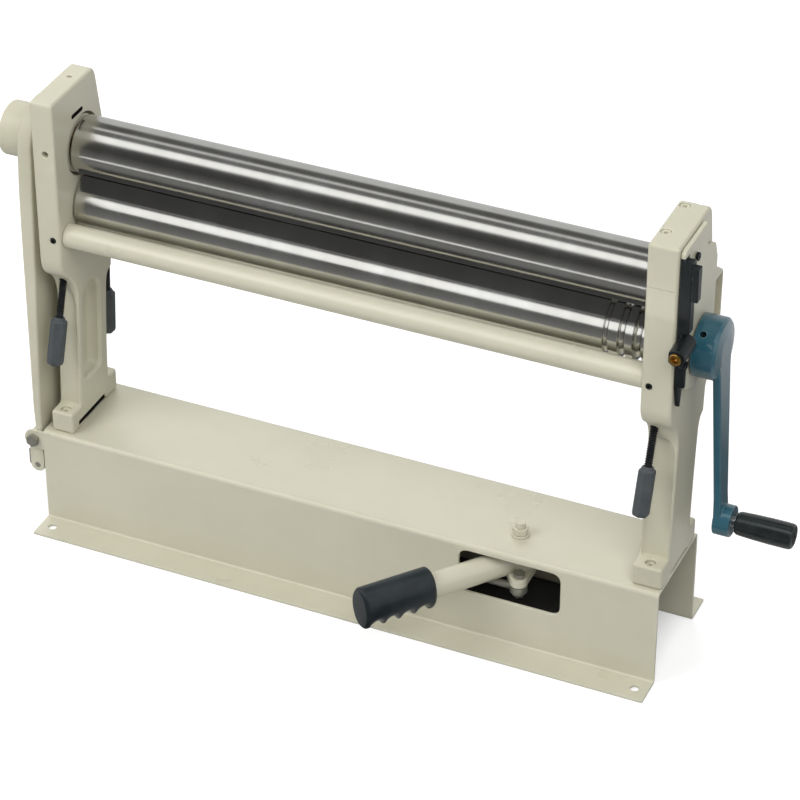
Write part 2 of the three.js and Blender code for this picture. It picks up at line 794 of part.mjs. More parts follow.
// Bearing blocks of the lower and rear rolls, square to their adjusters.
function bearingBlock(width, height, [x0, x1], boreRadius) {
  const block = plateX(rectangle(-width / 2, width / 2, -height / 2, height / 2), x0, x1);
  return cut(block, cylinderX(boreRadius + running, x0 - 1, x1 + 1, 0, 0, 28));
}

for (const side of ["left", "right"]) {
  const front = bearingBlock(frontBlockWidth, frontBlockHeight, frontBlockEnds[side], journalRadius);
  const frontMesh = add(root, "lower_bearing_" + side, front, bronze);
  frontMesh.rotation.x = -frontTilt;
  frontMesh.position.z = lowerRollHeight;
  const rear = bearingBlock(rearBlockWidth, rearBlockHeight, rearBlockEnds[side], rearJournalRadius);
  const rearMesh = add(root, "rear_bearing_" + side, rear, bronze);
  rearMesh.rotation.x = -rearTilt;
  rearMesh.position.set(0, rearRollBack, lowerRollHeight);
}

// The upper roll's right bearing, held down by the cap.
const [upperBlockLeft, upperBlockRight] = frontBlockEnds.right;
const upperBearing = cut(
  box(upperBlockLeft, upperBlockRight, -upperBlockHalf, upperBlockHalf, upperBlockLow, seamHeight - seat),
  cylinderX(journalRadius + running, upperBlockLeft - 1, upperBlockRight + 1, 0, upperRollHeight, 28),
);
add(frames, "upper_bearing_right", upperBearing, bronze);

// Four adjusters: a screw under each bearing block, with a six-sided knob on its lower end.
function makeAdjuster(place, x, y, tilt, offset, blockHeight, reach) {
  const adjuster = new THREE.Group();
  adjuster.position.set(x, y, lowerRollHeight);
  adjuster.rotation.x = -tilt;
  root.add(adjuster);
  const screwTop = -blockHeight / 2 - seat;
  const knobTop = screwTop - reach;
  const half = knobAcrossCorners / 2;
  const screw = cylinderZ(screwDiameter / 2, knobTop - knobGrip, screwTop, 0, offset, 12);
  add(adjuster, "adjusting_screw_" + place, screw, darkSteel);
  const profile = [
    [0, 0], [0, half - 3], [3, half], [knobLength - 2, half], [knobLength, half - 2], [knobLength, 0],
  ];
  const points = profile.map(([h, r]) => new THREE.Vector2(r, h));
  const blank = new THREE.LatheGeometry(points, 6).rotateX(Math.PI / 2);
  blank.translate(0, offset, knobTop - knobLength);
  const bore = cylinderZ(screwDiameter / 2 + running, knobTop - knobGrip - 1, knobTop + 1, 0, offset, 12);
  add(adjuster, "adjusting_knob_" + place, cut(blank, bore), knobGrey);
}
for (const side of ["left", "right"]) {
  const frontX = middleOf(frontBlockEnds[side]);
  const rearX = middleOf(rearBlockEnds[side]);
  makeAdjuster("front_" + side, frontX, 0, frontTilt, -frontScrewOffset, frontBlockHeight, frontScrewReach);
  makeAdjuster("rear_" + side, rearX, rearRollBack, rearTilt, 0, rearBlockHeight, rearScrewReach);
}

// The gear cover on the right frame, with a lubricator that faces the operator.
const coverFront = -headFront + coverInset;
const coverTop = frameTop - coverInset;
const lubricatorX = coverOuter + 2;
const lubricatorHeight = lowerRollHeight + lubricatorRise;
const fittingDepth = 12;

function coverOutline() {
  const rear = gearRoom + 5;
  const low = lowerRollHeight - gearRoom - 7;
  const neck = 10;
  return outline([
    [coverFront, coverTop - 3],
    [coverFront, lowerRollHeight - 18],
    [coverFront + 7, low],
    [coverFront + 14, lowerRollHeight - 24],
    [-gearRoom + 4, low + 9],
    [-12, low],
    [12, low],
    [rear - 7, low + 9],
    [rear, lowerRollHeight - 16],
    [rear, upperRollHeight + 12],
    [rear - 7, upperRollHeight + 30],
    [neck, upperRollHeight + coverNeckRise],
    [neck, coverTop - 4],
    [neck - 4, coverTop],
    [coverFront + 3, coverTop],
  ]);
}

function makeGearCover() {
  const inner = rightOuter + seat;
  const shaftRoom = crankShaftRadius + frontTravelDown + 2;
  const barrelRadius = lubricatorDiameter / 2;
  const barrelFront = coverFront - lubricatorReach;
  const barrelRear = coverFront + 12;
  const whole = join(
    plateX(coverOutline(), inner, coverOuter),
    box(inner, coverOuter + 7, coverFront, coverFront + 12, upperRollHeight - 20, coverTop - 9),
    box(inner, coverOuter + 5, coverFront, coverFront + 5, lowerRollHeight - 17, lowerRollHeight + 6),
    box(coverOuter + 6, coverOuter + 13, coverFront + 1, coverFront + 11, coverTop - 52, coverTop - 16),
    cylinderY(barrelRadius, barrelFront, barrelRear, lubricatorX, lubricatorHeight, 24),
  );
  const fittingRoom = fittingDiameter / 2 + running;
  return cut(
    whole,
    box(inner - 2 * barrelRadius, inner, barrelFront - 1, barrelRear + 1, headBottom, frameTop),
    cylinderY(fittingRoom, barrelFront - 1, barrelFront + fittingDepth, lubricatorX, lubricatorHeight),
    cylinderX(shaftRoom, inner - 1, coverOuter + 1, 0, lowerRollHeight),
    ...Object.values(coverScrews).map(([y, z]) =>
      cylinderX(coverScrewRadius + seat, inner - 1, coverOuter + 1, y, z, 10),
    ),
  );
}
add(frames, "gear_cover", makeGearCover(), blackPaint);

const coverScrewHead = 3;
for (const [place, [y, z]] of Object.entries(coverScrews)) {
  const geometry = socketScrew(coverScrewRadius, 4.2, coverScrewHead, coverThickness + coverScrewDepth);
  const screw = add(frames, "cover_screw_" + place, geometry, darkSteel);
  screw.rotation.y = Math.PI / 2;
  screw.position.set(coverOuter + seat + coverScrewHead, y, z);
}

const fitting = join(
  cylinderY(fittingDiameter / 2, -0.5, fittingDepth - 1),
  cylinderY(fittingDiameter / 2 + 1.5, -2, 0),
);
add(frames, "lubricator_fitting", fitting, bronze)
  .position.set(lubricatorX, coverFront - lubricatorReach - seat, lubricatorHeight);

// The crank: hub on the lower roll's shaft, arm hanging down, and a turning grip.
const crankArmX = hubLeft + hubLength - crankArmThickness;
const bossLeft = crankArmX + crankLean;
const hubRadius = hubDiameter / 2;

function makeCrank() {
  const crown = hubRadius - 14;
  const hub = turned([
    [hubLeft, 0],
    [hubLeft, hubRadius - 1],
    [hubLeft + 1, hubRadius],
    [hubLeft + hubLength - 4, hubRadius],
    [hubLeft + hubLength - 1, hubRadius - 3],
    [hubLeft + hubLength + 1, crown],
    [hubLeft + hubLength + 1, 0],
  ]);
  const armSide = outline([
    [crankArmX, 6],
    [bossLeft, -crankThrow],
    [bossLeft + crankArmThickness, -crankThrow],
    [crankArmX + crankArmThickness, 6],
  ]);
  const armFace = strap(crankArmWidth / 2, crankArmEndWidth / 2, 0, -crankThrow);
  const arm = common(
    plateY(armSide, -crankArmWidth / 2, crankArmWidth / 2),
    plateX(armFace, hubLeft, bossLeft + crankBossLength),
  );
  const boss = cylinderX(crankBossDiameter / 2, bossLeft, bossLeft + crankBossLength, 0, -crankThrow, 28);
  const spindleRoom = spindleDiameter / 2 + running;
  const screwRoom = cylinderZ(
    grubRadius + seat, crankShaftRadius - 2, hubRadius + 1, hubLeft + crankScrewInset, 0, 12,
  );
  return cut(
    join(hub, arm, boss),
    cylinderX(crankShaftRadius + running, hubLeft - 1, crankShaftEnd + 1, 0, 0, 28),
    cylinderX(spindleRoom, bossLeft + 4, bossLeft + crankBossLength + 1, 0, -crankThrow, 16),
    screwRoom.rotateX(crankScrewTurn),
  );
}
add(lowerRoll, "crank_arm", makeCrank(), teal);

const crankScrew = add(lowerRoll, "crank_set_screw", grubScrew(grubRadius, 14), darkSteel);
const crankScrewFoot = crankShaftRadius + seat;
crankScrew.rotation.x = crankScrewTurn;
crankScrew.position.set(
  hubLeft + crankScrewInset,
  -crankScrewFoot * Math.sin(crankScrewTurn),
  crankScrewFoot * Math.cos(crankScrewTurn),
);

const spindleFace = bossLeft + crankBossLength;
const spindleRadius = spindleDiameter / 2;
const crankGripRadius = crankGripDiameter / 2;
const collarThickness = 4;
const collarRadius = crankGripRadius - 3;
const crankGripLeft = spindleFace + collarThickness + seat;
const crankGripRight = crankGripLeft + crankGripLength;
const crankGripCap = 6;
const spindle = turned([
  [bossLeft + 5, 0],
  [bossLeft + 5, spindleRadius],
  [spindleFace + seat, spindleRadius],
  [spindleFace + seat, collarRadius],
  [spindleFace + collarThickness, collarRadius],
  [spindleFace + collarThickness, spindleRadius],
  [crankGripRight - crankGripCap, spindleRadius],
  [crankGripRight - crankGripCap, 0],
], 24);
add(lowerRoll, "crank_spindle", spindle, zinc).position.z = -crankThrow;

const crankGrip = cut(
  turned([
    [crankGripLeft, 0],
    [crankGripLeft, crankGripRadius - 2],
    [crankGripLeft + 3, crankGripRadius - 1],
    [crankGripLeft + crankGripLength * 0.6, crankGripRadius],
    [crankGripRight - 3, crankGripRadius],
    [crankGripRight, crankGripRadius - 3],
    [crankGripRight, 0],
  ]),
  cylinderX(spindleRadius + running, crankGripLeft - 1, crankGripRight - crankGripCap + 1, 0, 0, 24),
);
add(lowerRoll, "crank_grip", crankGrip, gripBlack).position.z = -crankThrow;

// The swing arm on the left: it holds the upper roll's tapered journal, and hinges open at the base.
const leverHubLow = leverHeight - leverHubHeight / 2;
const leverHubHigh = leverHeight + leverHubHeight / 2;
const linkRadius = linkDiameter / 2;
const linkHeight = leverHubLow - 0.5 - linkRadius;
const tailDrop = hingeHeight - linkHeight;
const eyeX = pivotX + eyeReach * Math.cos(eyeAngle);
const eyeY = pivotY + eyeReach * Math.sin(eyeAngle);
const noseRight = -rollHalf - 4;
const bushEnd = -rollHalf - taperLength - 5;
const armHigh = upperRollHeight - hingeHeight;
const armMiddle = (baseRear - baseFront) / 2;
const armHalf = (baseFront + baseRear) / 2 - baseSheet - seat;

function armOutline() {
  const startAngle = -0.095;
  const shape = new THREE.Shape();
  shape.moveTo(armMiddle - armHalf, 0);
  shape.lineTo(armMiddle + armHalf, 0);
  shape.lineTo(armMiddle + armHalf, armShoulderRise);
  shape.lineTo(armHeadRadius, armHigh - 30);
  shape.absarc(0, armHigh, armHeadRadius, startAngle, Math.PI - startAngle, false);
  shape.lineTo(armMiddle - armHalf, armShoulderRise);
  return shape;
}

function makeSwingArm() {
  const outer = armInner - armTopThickness;
  const top = armHigh + armHeadRadius + 1;
  const wedge = outline([
    [outer, top],
    [outer, armHigh - armBossDiameter / 2],
    [armInner - armFootThickness, 0],
    [armInner, 0],
    [armInner, top],
  ]);
  const low = armMiddle - armHalf;
  const high = armMiddle + armHalf;
  const strip = strap(hingeBarrelRadius, hingeBarrelRadius, 0, -tailDrop);
  const prongs = [-prongGap / 2 - prongThickness, prongGap / 2].map((y) =>
    plateY(strip, eyeY + y, eyeY + y + prongThickness).translate(hingeX, 0, 0),
  );
  const whole = join(
    common(plateX(armOutline(), outer, armInner), plateY(wedge, -armHalf - 20, armHalf + 20)),
    cylinderY(hingeBarrelRadius, low, high, hingeX, 0),
    box(hingeX, armInner, low, high, -4, 8),
    cylinderX(armBossDiameter / 2, outer - armBossLength, armInner - 2, 0, armHigh),
    cylinderX(noseRadius, armInner - 2, noseRight, 0, armHigh),
    ...prongs,
  );
  return cut(
    whole,
    cylinderX(bushRadius + seat, bushEnd - 1, noseRight + 1, 0, armHigh),
    cylinderY(hingePinDiameter / 2 + running, low - 1, high + 1, hingeX, 0),
    cylinderY(tailPinDiameter / 2 + running, eyeY - 20, eyeY + 20, hingeX, -tailDrop, 12),
  );
}
add(root, "swing_arm", makeSwingArm(), paint).position.z = hingeHeight;

const taperSlope = (taperLargeDiameter - taperSmallDiameter) / 2 / taperLength;
const bushMouth = noseRight - 0.5;
const bushBore = (x) => taperLargeDiameter / 2 + bushClearance + (x + rollHalf) * taperSlope;
const armBush = turned([
  [bushEnd, bushBore(bushEnd)],
  [bushEnd, bushRadius],
  [bushMouth, bushRadius],
  [bushMouth, bushBore(bushMouth)],
  [bushEnd, bushBore(bushEnd)],
]);
add(root, "arm_bush", armBush, bronze).position.z = upperRollHeight;

// The arm's hinge pin across the base's end with its nut behind, and the pin in the arm's tail.
const hingeNutHeight = 6;
const hingePin = join(
  cylinderY(hingePinDiameter / 2, -baseFront - 1, baseRear + hingeNutHeight + 2),
  cylinderY(hingeNutCorners / 2, -baseFront - seat - 5, -baseFront - seat, 0, 0, 6),
);
add(root, "arm_hinge_pin", hingePin, zinc).position.set(hingeX, 0, hingeHeight);
const hingeNutShape = hexNut(hingeNutCorners, hingePinDiameter / 2 + running, hingeNutHeight);
const hingeNut = add(root, "arm_hinge_nut", hingeNutShape, zinc);
hingeNut.rotation.x = -Math.PI / 2;
hingeNut.position.set(hingeX, baseRear + seat, hingeHeight);
const tailPinHalf = prongGap / 2 + prongThickness + 0.4;
add(root, "arm_tail_pin", cylinderY(tailPinDiameter / 2, -tailPinHalf, tailPinHalf, 0, 0, 12), zinc)
  .position.set(hingeX, eyeY, linkHeight);

// The release lever: a tube and a hub that turn on an upright bolt under the base's top.
const release = new THREE.Group();
release.position.set(pivotX, pivotY, 0);
root.add(release);
const leverHubRadius = leverHubDiameter / 2;
const pivotRadius = pivotBoltDiameter / 2;
const pivotHeadHeight = 6.5;
const pivotHeadRadius = 8.5;
const leverGripEnd = leverGripStart + leverGripLength;
const tubeEnd = leverGripEnd - 12;
const lugHeight = 9;

function makeLever() {
  const angle = eyeAngle - leverRestAngle;
  const lugX = eyeReach * Math.cos(angle);
  const lugY = eyeReach * Math.sin(angle);
  const whole = join(
    cylinderZ(leverHubRadius, leverHubLow, leverHubHigh, 0, 0, 28),
    ovalBar(leverTubeWidth, leverTubeDepth, 0, tubeEnd).translate(0, 0, leverHeight),
    extrude(strap(leverHubRadius, eyeRadius, lugX, lugY), lugHeight).translate(0, 0, leverHubLow),
  );
  const headRoom = pivotHeadHeight + 1.5;
  return cut(
    whole,
    cylinderZ(pivotRadius + running, leverHubLow - 1, leverHubHigh + 1),
    cylinderZ(pivotHeadRadius + 1.5, leverHubLow - 1, leverHubLow + headRoom),
    cylinderZ(linkPinDiameter / 2 + running, leverHubLow - 1, leverHubLow + lugHeight + 1, lugX, lugY, 12),
  );
}
add(release, "release_lever", makeLever(), paint).rotation.z = leverRestAngle;

// The grip: an oval sleeve with finger scallops along its underside.
function gripSide() {
  const half = leverGripDepth / 2;
  const scallopStart = 5;
  const pitch = (leverGripLength - 2 * scallopStart) / fingerCount;
  const shape = new THREE.Shape();
  shape.moveTo(leverGripStart, -half + 4);
  shape.lineTo(leverGripStart + 3, -half);
  for (let i = 0; i < fingerCount; i++) {
    const x = leverGripStart + scallopStart + i * pitch;
    shape.lineTo(x, -half);
    shape.quadraticCurveTo(x + pitch / 2, -half + fingerDepth, x + pitch, -half);
  }
  shape.lineTo(leverGripEnd - 1, -half);
  shape.lineTo(leverGripEnd, -half + 4);
  shape.lineTo(leverGripEnd, half - 5);
  shape.quadraticCurveTo(leverGripEnd, half - 1, leverGripEnd - 5, half - 1);
  shape.lineTo(leverGripStart + 5, half);
  shape.quadraticCurveTo(leverGripStart, half, leverGripStart, half - 5);
  return shape;
}

function makeLeverGrip() {
  const body = common(
    plateY(gripSide(), -leverGripWidth, leverGripWidth),
    ovalBar(leverGripWidth, leverGripDepth, leverGripStart - 1, leverGripEnd + 1),
  );
  const roomWidth = leverTubeWidth + 2 * seat;
  const roomDepth = leverTubeDepth + 2 * seat;
  const bore = ovalBar(roomWidth, roomDepth, leverGripStart - 2, tubeEnd + seat);
  return cut(body, bore).translate(0, 0, leverHeight);
}
add(release, "lever_grip", makeLeverGrip(), gripBlack).rotation.z = leverRestAngle;

// The pivot: a bolt from below with a spacer, a washer and a nut on the base's top.
const washerHeight = 2;
const pivotNutHeight = 7;
const pivotNutLow = baseHeight + washerHeight + 2 * seat;

// A washer or a spacer round the pivot bolt, between two heights.
function pivotRing(radius, low, high) {
  return cut(cylinderZ(radius, low, high), cylinderZ(pivotRadius + running, low - 1, high + 1));
}

add(release, "pivot_bolt", join(
  cylinderZ(pivotRadius, leverHubLow + 6, pivotNutLow + pivotNutHeight + 5.7),
  cylinderZ(pivotHeadRadius, leverHubLow + 1, leverHubLow + 1 + pivotHeadHeight, 0, 0, 6),
), zinc);
add(release, "pivot_spacer", pivotRing(12, leverHubHigh + seat, baseHeight - baseSheet - seat), zinc);
add(release, "pivot_washer", pivotRing(9.5, baseHeight + seat, baseHeight + seat + washerHeight), zinc);
add(release, "pivot_nut", hexNut(16.5, pivotRadius + running, pivotNutHeight), zinc)
  .position.z = pivotNutLow;

// The link from the lever's eye to the tail of the swing arm, slotted at the arm's end.
const linkPinRadius = linkPinDiameter / 2;
const slotClear = tailPinDiameter / 2 + 0.8;
function makeLink() {
  const reach = eyeX - hingeX;
  const [slotEnd, slotFoot, slotTop] = [slotClear + 6.2, slotClear + 0.7, slotClear + 3.6];
  const wall = 5;
  const slotOutline = roundedRectangle(-slotEnd, slotFoot, -slotClear, slotTop, 2);
  const bladeOutline = roundedRectangle(
    -slotEnd - wall, slotFoot + 2 * wall, -slotClear - wall, slotTop + wall, 3,
  );
  const blade = plateY(bladeOutline, -linkBladeThickness / 2, linkBladeThickness / 2);
  const slot = plateY(slotOutline, -linkBladeThickness, linkBladeThickness);
  const whole = join(
    cylinderX(linkRadius, -reach + slotClear + 8.2, -4, 0, 0, 12),
    cylinderZ(eyeRadius, -linkRadius, linkRadius, 0, 0, 20),
    blade.translate(-reach, 0, 0),
  );
  const pinRoom = cylinderZ(linkPinRadius + running, -linkRadius - 1, linkRadius + 1, 0, 0, 12);
  return cut(whole, slot.translate(-reach, 0, 0), pinRoom);
}
add(root, "link_rod", makeLink(), zinc).position.set(eyeX, eyeY, linkHeight);

// The link's pin, with its head on the lever's eye and a nut under the link.
const linkNutHeight = 5;
const linkPinHead = leverHubLow + lugHeight + seat;
const linkNutTop = linkHeight - linkRadius - seat;
const linkPin = join(
  cylinderZ(linkPinRadius, linkNutTop - linkNutHeight + 1.8, linkPinHead + 1, 0, 0, 12),
  cylinderZ(6.5, linkPinHead, linkPinHead + 4.7, 0, 0, 6),
);
add(root, "link_pin", linkPin, zinc).position.set(eyeX, eyeY, 0);
add(root, "link_nut", hexNut(13, linkPinRadius + running, linkNutHeight), zinc)
  .position.set(eyeX, eyeY, linkNutTop - linkNutHeight);

// The origin goes to the middle of the bounding box, at floor level.
const machine = new THREE.Group();
machine.add(root);
machine.updateMatrixWorld(true);
const bounds = new THREE.Box3().setFromObject(machine, true);
root.position.set(
  -(bounds.min.x + bounds.max.x) / 2,
  -(bounds.min.y + bounds.max.y) / 2,
  -bounds.min.z,
);

export default machine;
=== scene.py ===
from math import cos, degrees, pi, radians, sin, tan

import bmesh
import bpy
from mathutils import Matrix, Vector
from mathutils.geometry import intersect_line_line_2d


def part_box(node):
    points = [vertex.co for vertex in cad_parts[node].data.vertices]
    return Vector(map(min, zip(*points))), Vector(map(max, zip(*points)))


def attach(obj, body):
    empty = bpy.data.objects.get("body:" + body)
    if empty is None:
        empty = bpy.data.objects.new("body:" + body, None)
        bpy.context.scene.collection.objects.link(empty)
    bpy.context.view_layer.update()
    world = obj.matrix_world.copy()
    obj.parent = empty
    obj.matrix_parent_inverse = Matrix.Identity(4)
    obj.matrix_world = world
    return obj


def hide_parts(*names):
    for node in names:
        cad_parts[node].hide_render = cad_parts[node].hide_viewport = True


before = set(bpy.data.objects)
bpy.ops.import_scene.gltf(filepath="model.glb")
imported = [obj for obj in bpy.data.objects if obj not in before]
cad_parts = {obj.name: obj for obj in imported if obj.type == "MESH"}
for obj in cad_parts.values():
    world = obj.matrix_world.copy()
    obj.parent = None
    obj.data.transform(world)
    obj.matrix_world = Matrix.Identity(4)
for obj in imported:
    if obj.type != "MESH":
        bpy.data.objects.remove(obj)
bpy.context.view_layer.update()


def linked(name, data):
    """A new object with its data, linked to the scene."""
    made = bpy.data.objects.new(name, data)
    bpy.context.scene.collection.objects.link(made)
    return made


# The view: a long lens at the operator's side, turned towards the crank's end of the machine and
# looking down on the base's top.
camera = linked("camera", bpy.data.cameras.new("camera"))
camera.data.lens = 150
camera.data.sensor_width = 36
camera.location = (1.1205, -2.4590, 2.1045)
camera.rotation_euler = (radians(55.432), 0, radians(24.02))
bpy.context.scene.camera = camera

# The base: a channel folded from 3 mm steel sheet, open at both ends, with a bolting flange along
# each side. Two hinge ears are welded to its left end, the lever's slot and the bolt holes are
# punched before folding, and the whole is sprayed with grey-cream enamel.
MM = 0.001
ROUND = 2 * pi
rolls_middle = (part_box("left_frame")[1].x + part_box("right_frame")[0].x) / 2
rolls_axis = (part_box("upper_roll")[0].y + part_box("upper_roll")[1].y) / 2
datum = Vector((rolls_middle, rolls_axis, 0))


def measured(name):
    """The corners of a node in machine millimetres: X from the rolls' middle, Y from their axis."""
    low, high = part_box(name)
    return (low - datum) / MM, (high - datum) / MM


def middle_of(name, axis):
    """The middle of a node's box along one axis, in machine millimetres."""
    low, high = measured(name)
    return (low[axis] + high[axis]) / 2


def solid(name, points, faces):
    """A closed mesh in machine millimetres."""
    mesh = bpy.data.meshes.new(name)
    mesh.from_pydata([tuple(p) for p in points], [], faces)
    builder = bmesh.new()
    builder.from_mesh(mesh)
    bmesh.ops.remove_doubles(builder, verts=builder.verts, dist=0.0005)
    bmesh.ops.recalc_face_normals(builder, faces=builder.faces)
    builder.to_mesh(mesh)
    builder.free()
    return linked(name, mesh)


def loft(name, rings, ring_shaped=False):
    """A solid skinned over rings of equal count, with flat ends or closed on itself."""
    count = len(rings[0])
    last = len(rings) - 1
    faces = []
    for i in range(len(rings) if ring_shaped else last):
        here = i * count
        there = ((i + 1) % len(rings)) * count
        for j in range(count):
            k = (j + 1) % count
            faces.append((here + j, here + k, there + k, there + j))
    if not ring_shaped:
        faces.append(tuple(range(count)))
        faces.append(tuple(range(last * count, (last + 1) * count)))
    return solid(name, [point for ring in rings for point in ring], faces)


def inset(outline, step):
    """An outline moved inwards by a step, with the small loops that this makes pulled shut."""
    count = len(outline)
    area = sum(a[0] * b[1] - b[0] * a[1] for a, b in zip(outline, outline[1:] + outline[:1]))
    inward = 1 if area > 0 else -1
    moved_points = []
    for i in range(count):
        before = Vector(outline[i]) - Vector(outline[i - 1])
        after = Vector(outline[(i + 1) % count]) - Vector(outline[i])
        before.normalize()
        after.normalize()
        normal = Vector((-before.y - after.y, before.x + after.x)) * inward
        normal.normalize()
        share = max(0.45, normal.dot(Vector((-before.y, before.x)) * inward))
        moved_points.append(tuple(Vector(outline[i]) + normal * step / share))
    for i in range(count):
        for reach in range(min(18, count - 2), 1, -1):
            j = (i + reach) % count
            ends = [moved_points[k % count] for k in (i, i + 1, j, j + 1)]
            crossing = intersect_line_line_2d(*ends)
            if crossing:
                for k in range(i + 1, i + reach + 1):
                    moved_points[k % count] = tuple(crossing)
                break
    return moved_points


def curve(start, bend, end, steps):
    """Points from a start to an end on a curve that is drawn towards a bend point."""
    shares = [i / steps for i in range(steps + 1)]
    return [tuple(start * (1 - t) ** 2 + bend * 2 * t * (1 - t) + end * t * t) for t in shares]


def softened(points, radius, closed=True, steps=5):
    """The same line with each sharp corner rounded to a radius, as far as its sides allow."""
    least_turn = radians(24)
    count = len(points)
    soft = []
    for i in range(count):
        corner = Vector(points[i])
        if not closed and i in (0, count - 1):
            soft.append(tuple(corner))
            continue
        back = Vector(points[i - 1]) - corner
        ahead = Vector(points[(i + 1) % count]) - corner
        turn = pi - back.angle(ahead)
        if turn < least_turn:
            soft.append(tuple(corner))
            continue
        trim = min(radius * tan(turn / 2), 0.46 * back.length, 0.46 * ahead.length)
        ends = (corner + back.normalized() * trim, corner + ahead.normalized() * trim)
        soft += curve(ends[0], corner, ends[1], steps)
    return soft


def drawn(start, *legs, steps=10):
    """An outline from a start: a leg is the next corner, or the bend point and end of a curve."""
    points = [tuple(start)]
    for leg in legs:
        if isinstance(leg[0], tuple):
            points += curve(Vector(points[-1]), Vector(leg[0]), Vector(leg[1]), steps)[1:]
        else:
            points.append(leg)
    return points


def arc(a, b, radius, start, end, steps=12):
    """Points on an arc, with its angles in degrees."""
    turns = [radians(start + (end - start) * i / steps) for i in range(steps + 1)]
    return [(a + radius * cos(t), b + radius * sin(t)) for t in turns]


def rounded_ends(low, high, radius, steps=4):
    """Stations of a solid whose two end faces have rounded edges."""
    quarter = [
        (radius * (1 - cos(t)), radius * (1 - sin(t)))
        for t in (pi / 2 * i / steps for i in range(steps + 1))
    ]
    near = [(low + rise, step) for rise, step in quarter]
    far = [(high - rise, step) for rise, step in reversed(quarter)]
    return near + far


AXES = {
    "x": lambda a, b, place: (place, a, b),
    "y": lambda a, b, place: (a, place, b),
    "z": lambda a, b, place: (a, b, place),
}


def slab(name, outline, stations, along="x"):
    """A solid along one axis through an outline that each station moves inwards by its own step."""
    rings = [
        [AXES[along](a, b, place) for a, b in inset(outline, step)] for place, step in stations
    ]
    return loft(name, rings)


def punch(outline, face, depth, along, flare=0.8, floor=0.0):
    """A cutter that enters at a face, with a flared mouth and an optional rounded floor."""
    way = 1 if depth > 0 else -1
    stations = [(face - way * 3, -flare - 0.01), (face - way * 0.01, -flare - 0.01)]
    for i in range(1, 5):
        t = pi / 2 * i / 4
        stations.append((face + way * flare * sin(t), -flare * (1 - sin(t))))
    if floor:
        for i in range(6):
            t = pi / 2 * i / 5
            stations.append((face + depth - way * floor * (1 - sin(t)), floor * (1 - cos(t))))
    else:
        stations.append((face + depth, 0))
    return slab("cutter", outline, stations, along)


def prism(outline, start, end, along="x"):
    """A cutter with straight sides."""
    return slab("cutter", outline, [(start, 0), (end, 0)], along)


def rectangle(a0, a1, b0, b1):
    return [(a0, b0), (a1, b0), (a1, b1), (a0, b1)]


def block(x0, x1, y0, y1, z0, z1):
    return prism(rectangle(y0, y1, z0, z1), x0, x1)


def oval(half_width, half_depth, sides=56, a=0, b=0):
    turns = [ROUND * i / sides for i in range(sides)]
    return [(a + half_width * cos(t), b + half_depth * sin(t)) for t in turns]


def circle(a, b, radius, sides=40):
    return oval(radius, radius, sides, a, b)


def combined(piece, others, operation):
    """One solid from several, by cutting or joining, with the others used up."""
    for other in others:
        step = piece.modifiers.new(other.name, "BOOLEAN")
        step.operation = operation
        step.solver = "EXACT"
        step.object = other
    graph = bpy.context.evaluated_depsgraph_get()
    whole = bpy.data.meshes.new_from_object(piece.evaluated_get(graph))
    piece.modifiers.clear()
    piece.data = whole
    for other in others:
        bpy.data.objects.remove(other)
    return piece


def carved(piece, *cutters):
    return combined(piece, cutters, "DIFFERENCE")


def welded(piece, *others):
    return combined(piece, others, "UNION")


def settle(piece, finish, crease=38):
    """Takes a piece from machine millimetres into the frame, with its shading and finish."""
    piece.data.transform(Matrix.Translation(datum) @ Matrix.Scale(MM, 4))
    piece.data.shade_smooth()
    piece.data.set_sharp_from_angle(angle=radians(crease))
    even = piece.modifiers.new("even shading", "WEIGHTED_NORMAL")
    even.keep_sharp = True
    piece.data.materials.clear()
    piece.data.materials.append(finish)
    return piece


def tone(code):
    """A colour written as six hexadecimal digits, as linear red, green, blue and alpha."""
    parts = [int(code[i:i + 2], 16) / 255 for i in (0, 2, 4)]
    return tuple(p / 12.92 if p <= 0.04045 else ((p + 0.055) / 1.055) ** 2.4 for p in parts) + (1,)


def feed(tree, target, inputs):
    """Gives a node's inputs their values, or links them to the sockets that feed them."""
    for name, value in inputs.items():
        if isinstance(value, bpy.types.NodeSocket):
            tree.links.new(value, target.inputs[name])
        else:
            target.inputs[name].default_value = value


def node(tree, kind, inputs=None, **settings):
    """A shader node, with its settings and its inputs."""
    made = tree.nodes.new("ShaderNode" + kind)
    for name, value in settings.items():
        setattr(made, name, value)
    feed(tree, made, inputs or {})
    return made


def effect(name, inputs, *outputs):
    """An empty node group with named inputs and outputs, and its two ends."""
    tree = bpy.data.node_groups.new(name, "ShaderNodeTree")
    number = "NodeSocketFloat"
    for label, value in inputs.items():
        socket = tree.interface.new_socket(name=label, in_out="INPUT", socket_type=number)
        socket.default_value = value
    for label in outputs:
        tree.interface.new_socket(name=label, in_out="OUTPUT", socket_type=number)
    return tree, tree.nodes.new("NodeGroupInput").outputs, tree.nodes.new("NodeGroupOutput")


def maths(tree, operation, a, b=0.0):
    return node(tree, "Math", {0: a, 1: b}, operation=operation).outputs[0]


def spread(tree, value, low, high, start=0.0, end=1.0):
    """A value stretched from one range to another, and held inside it."""
    ends = {"Value": value, "From Min": low, "From Max": high, "To Min": start, "To Max": end}
    return node(tree, "MapRange", ends).outputs[0]


def blend_colour(tree, share, first, second):
    return node(tree, "Mix", {0: share, 6: first, 7: second}, data_type="RGBA").outputs[2]


def texture(tree, kind, scale, **inputs):
    """A texture over the object's own coordinates, scaled per metre or by the size of a grain."""
    place = node(tree, "TexCoord").outputs["Object"]
    if isinstance(scale, bpy.types.NodeSocket):
        scale = maths(tree, "DIVIDE", 1.0, scale)
    return node(tree, "Tex" + kind, {"Vector": place, "Scale": scale, **inputs}).outputs[0]


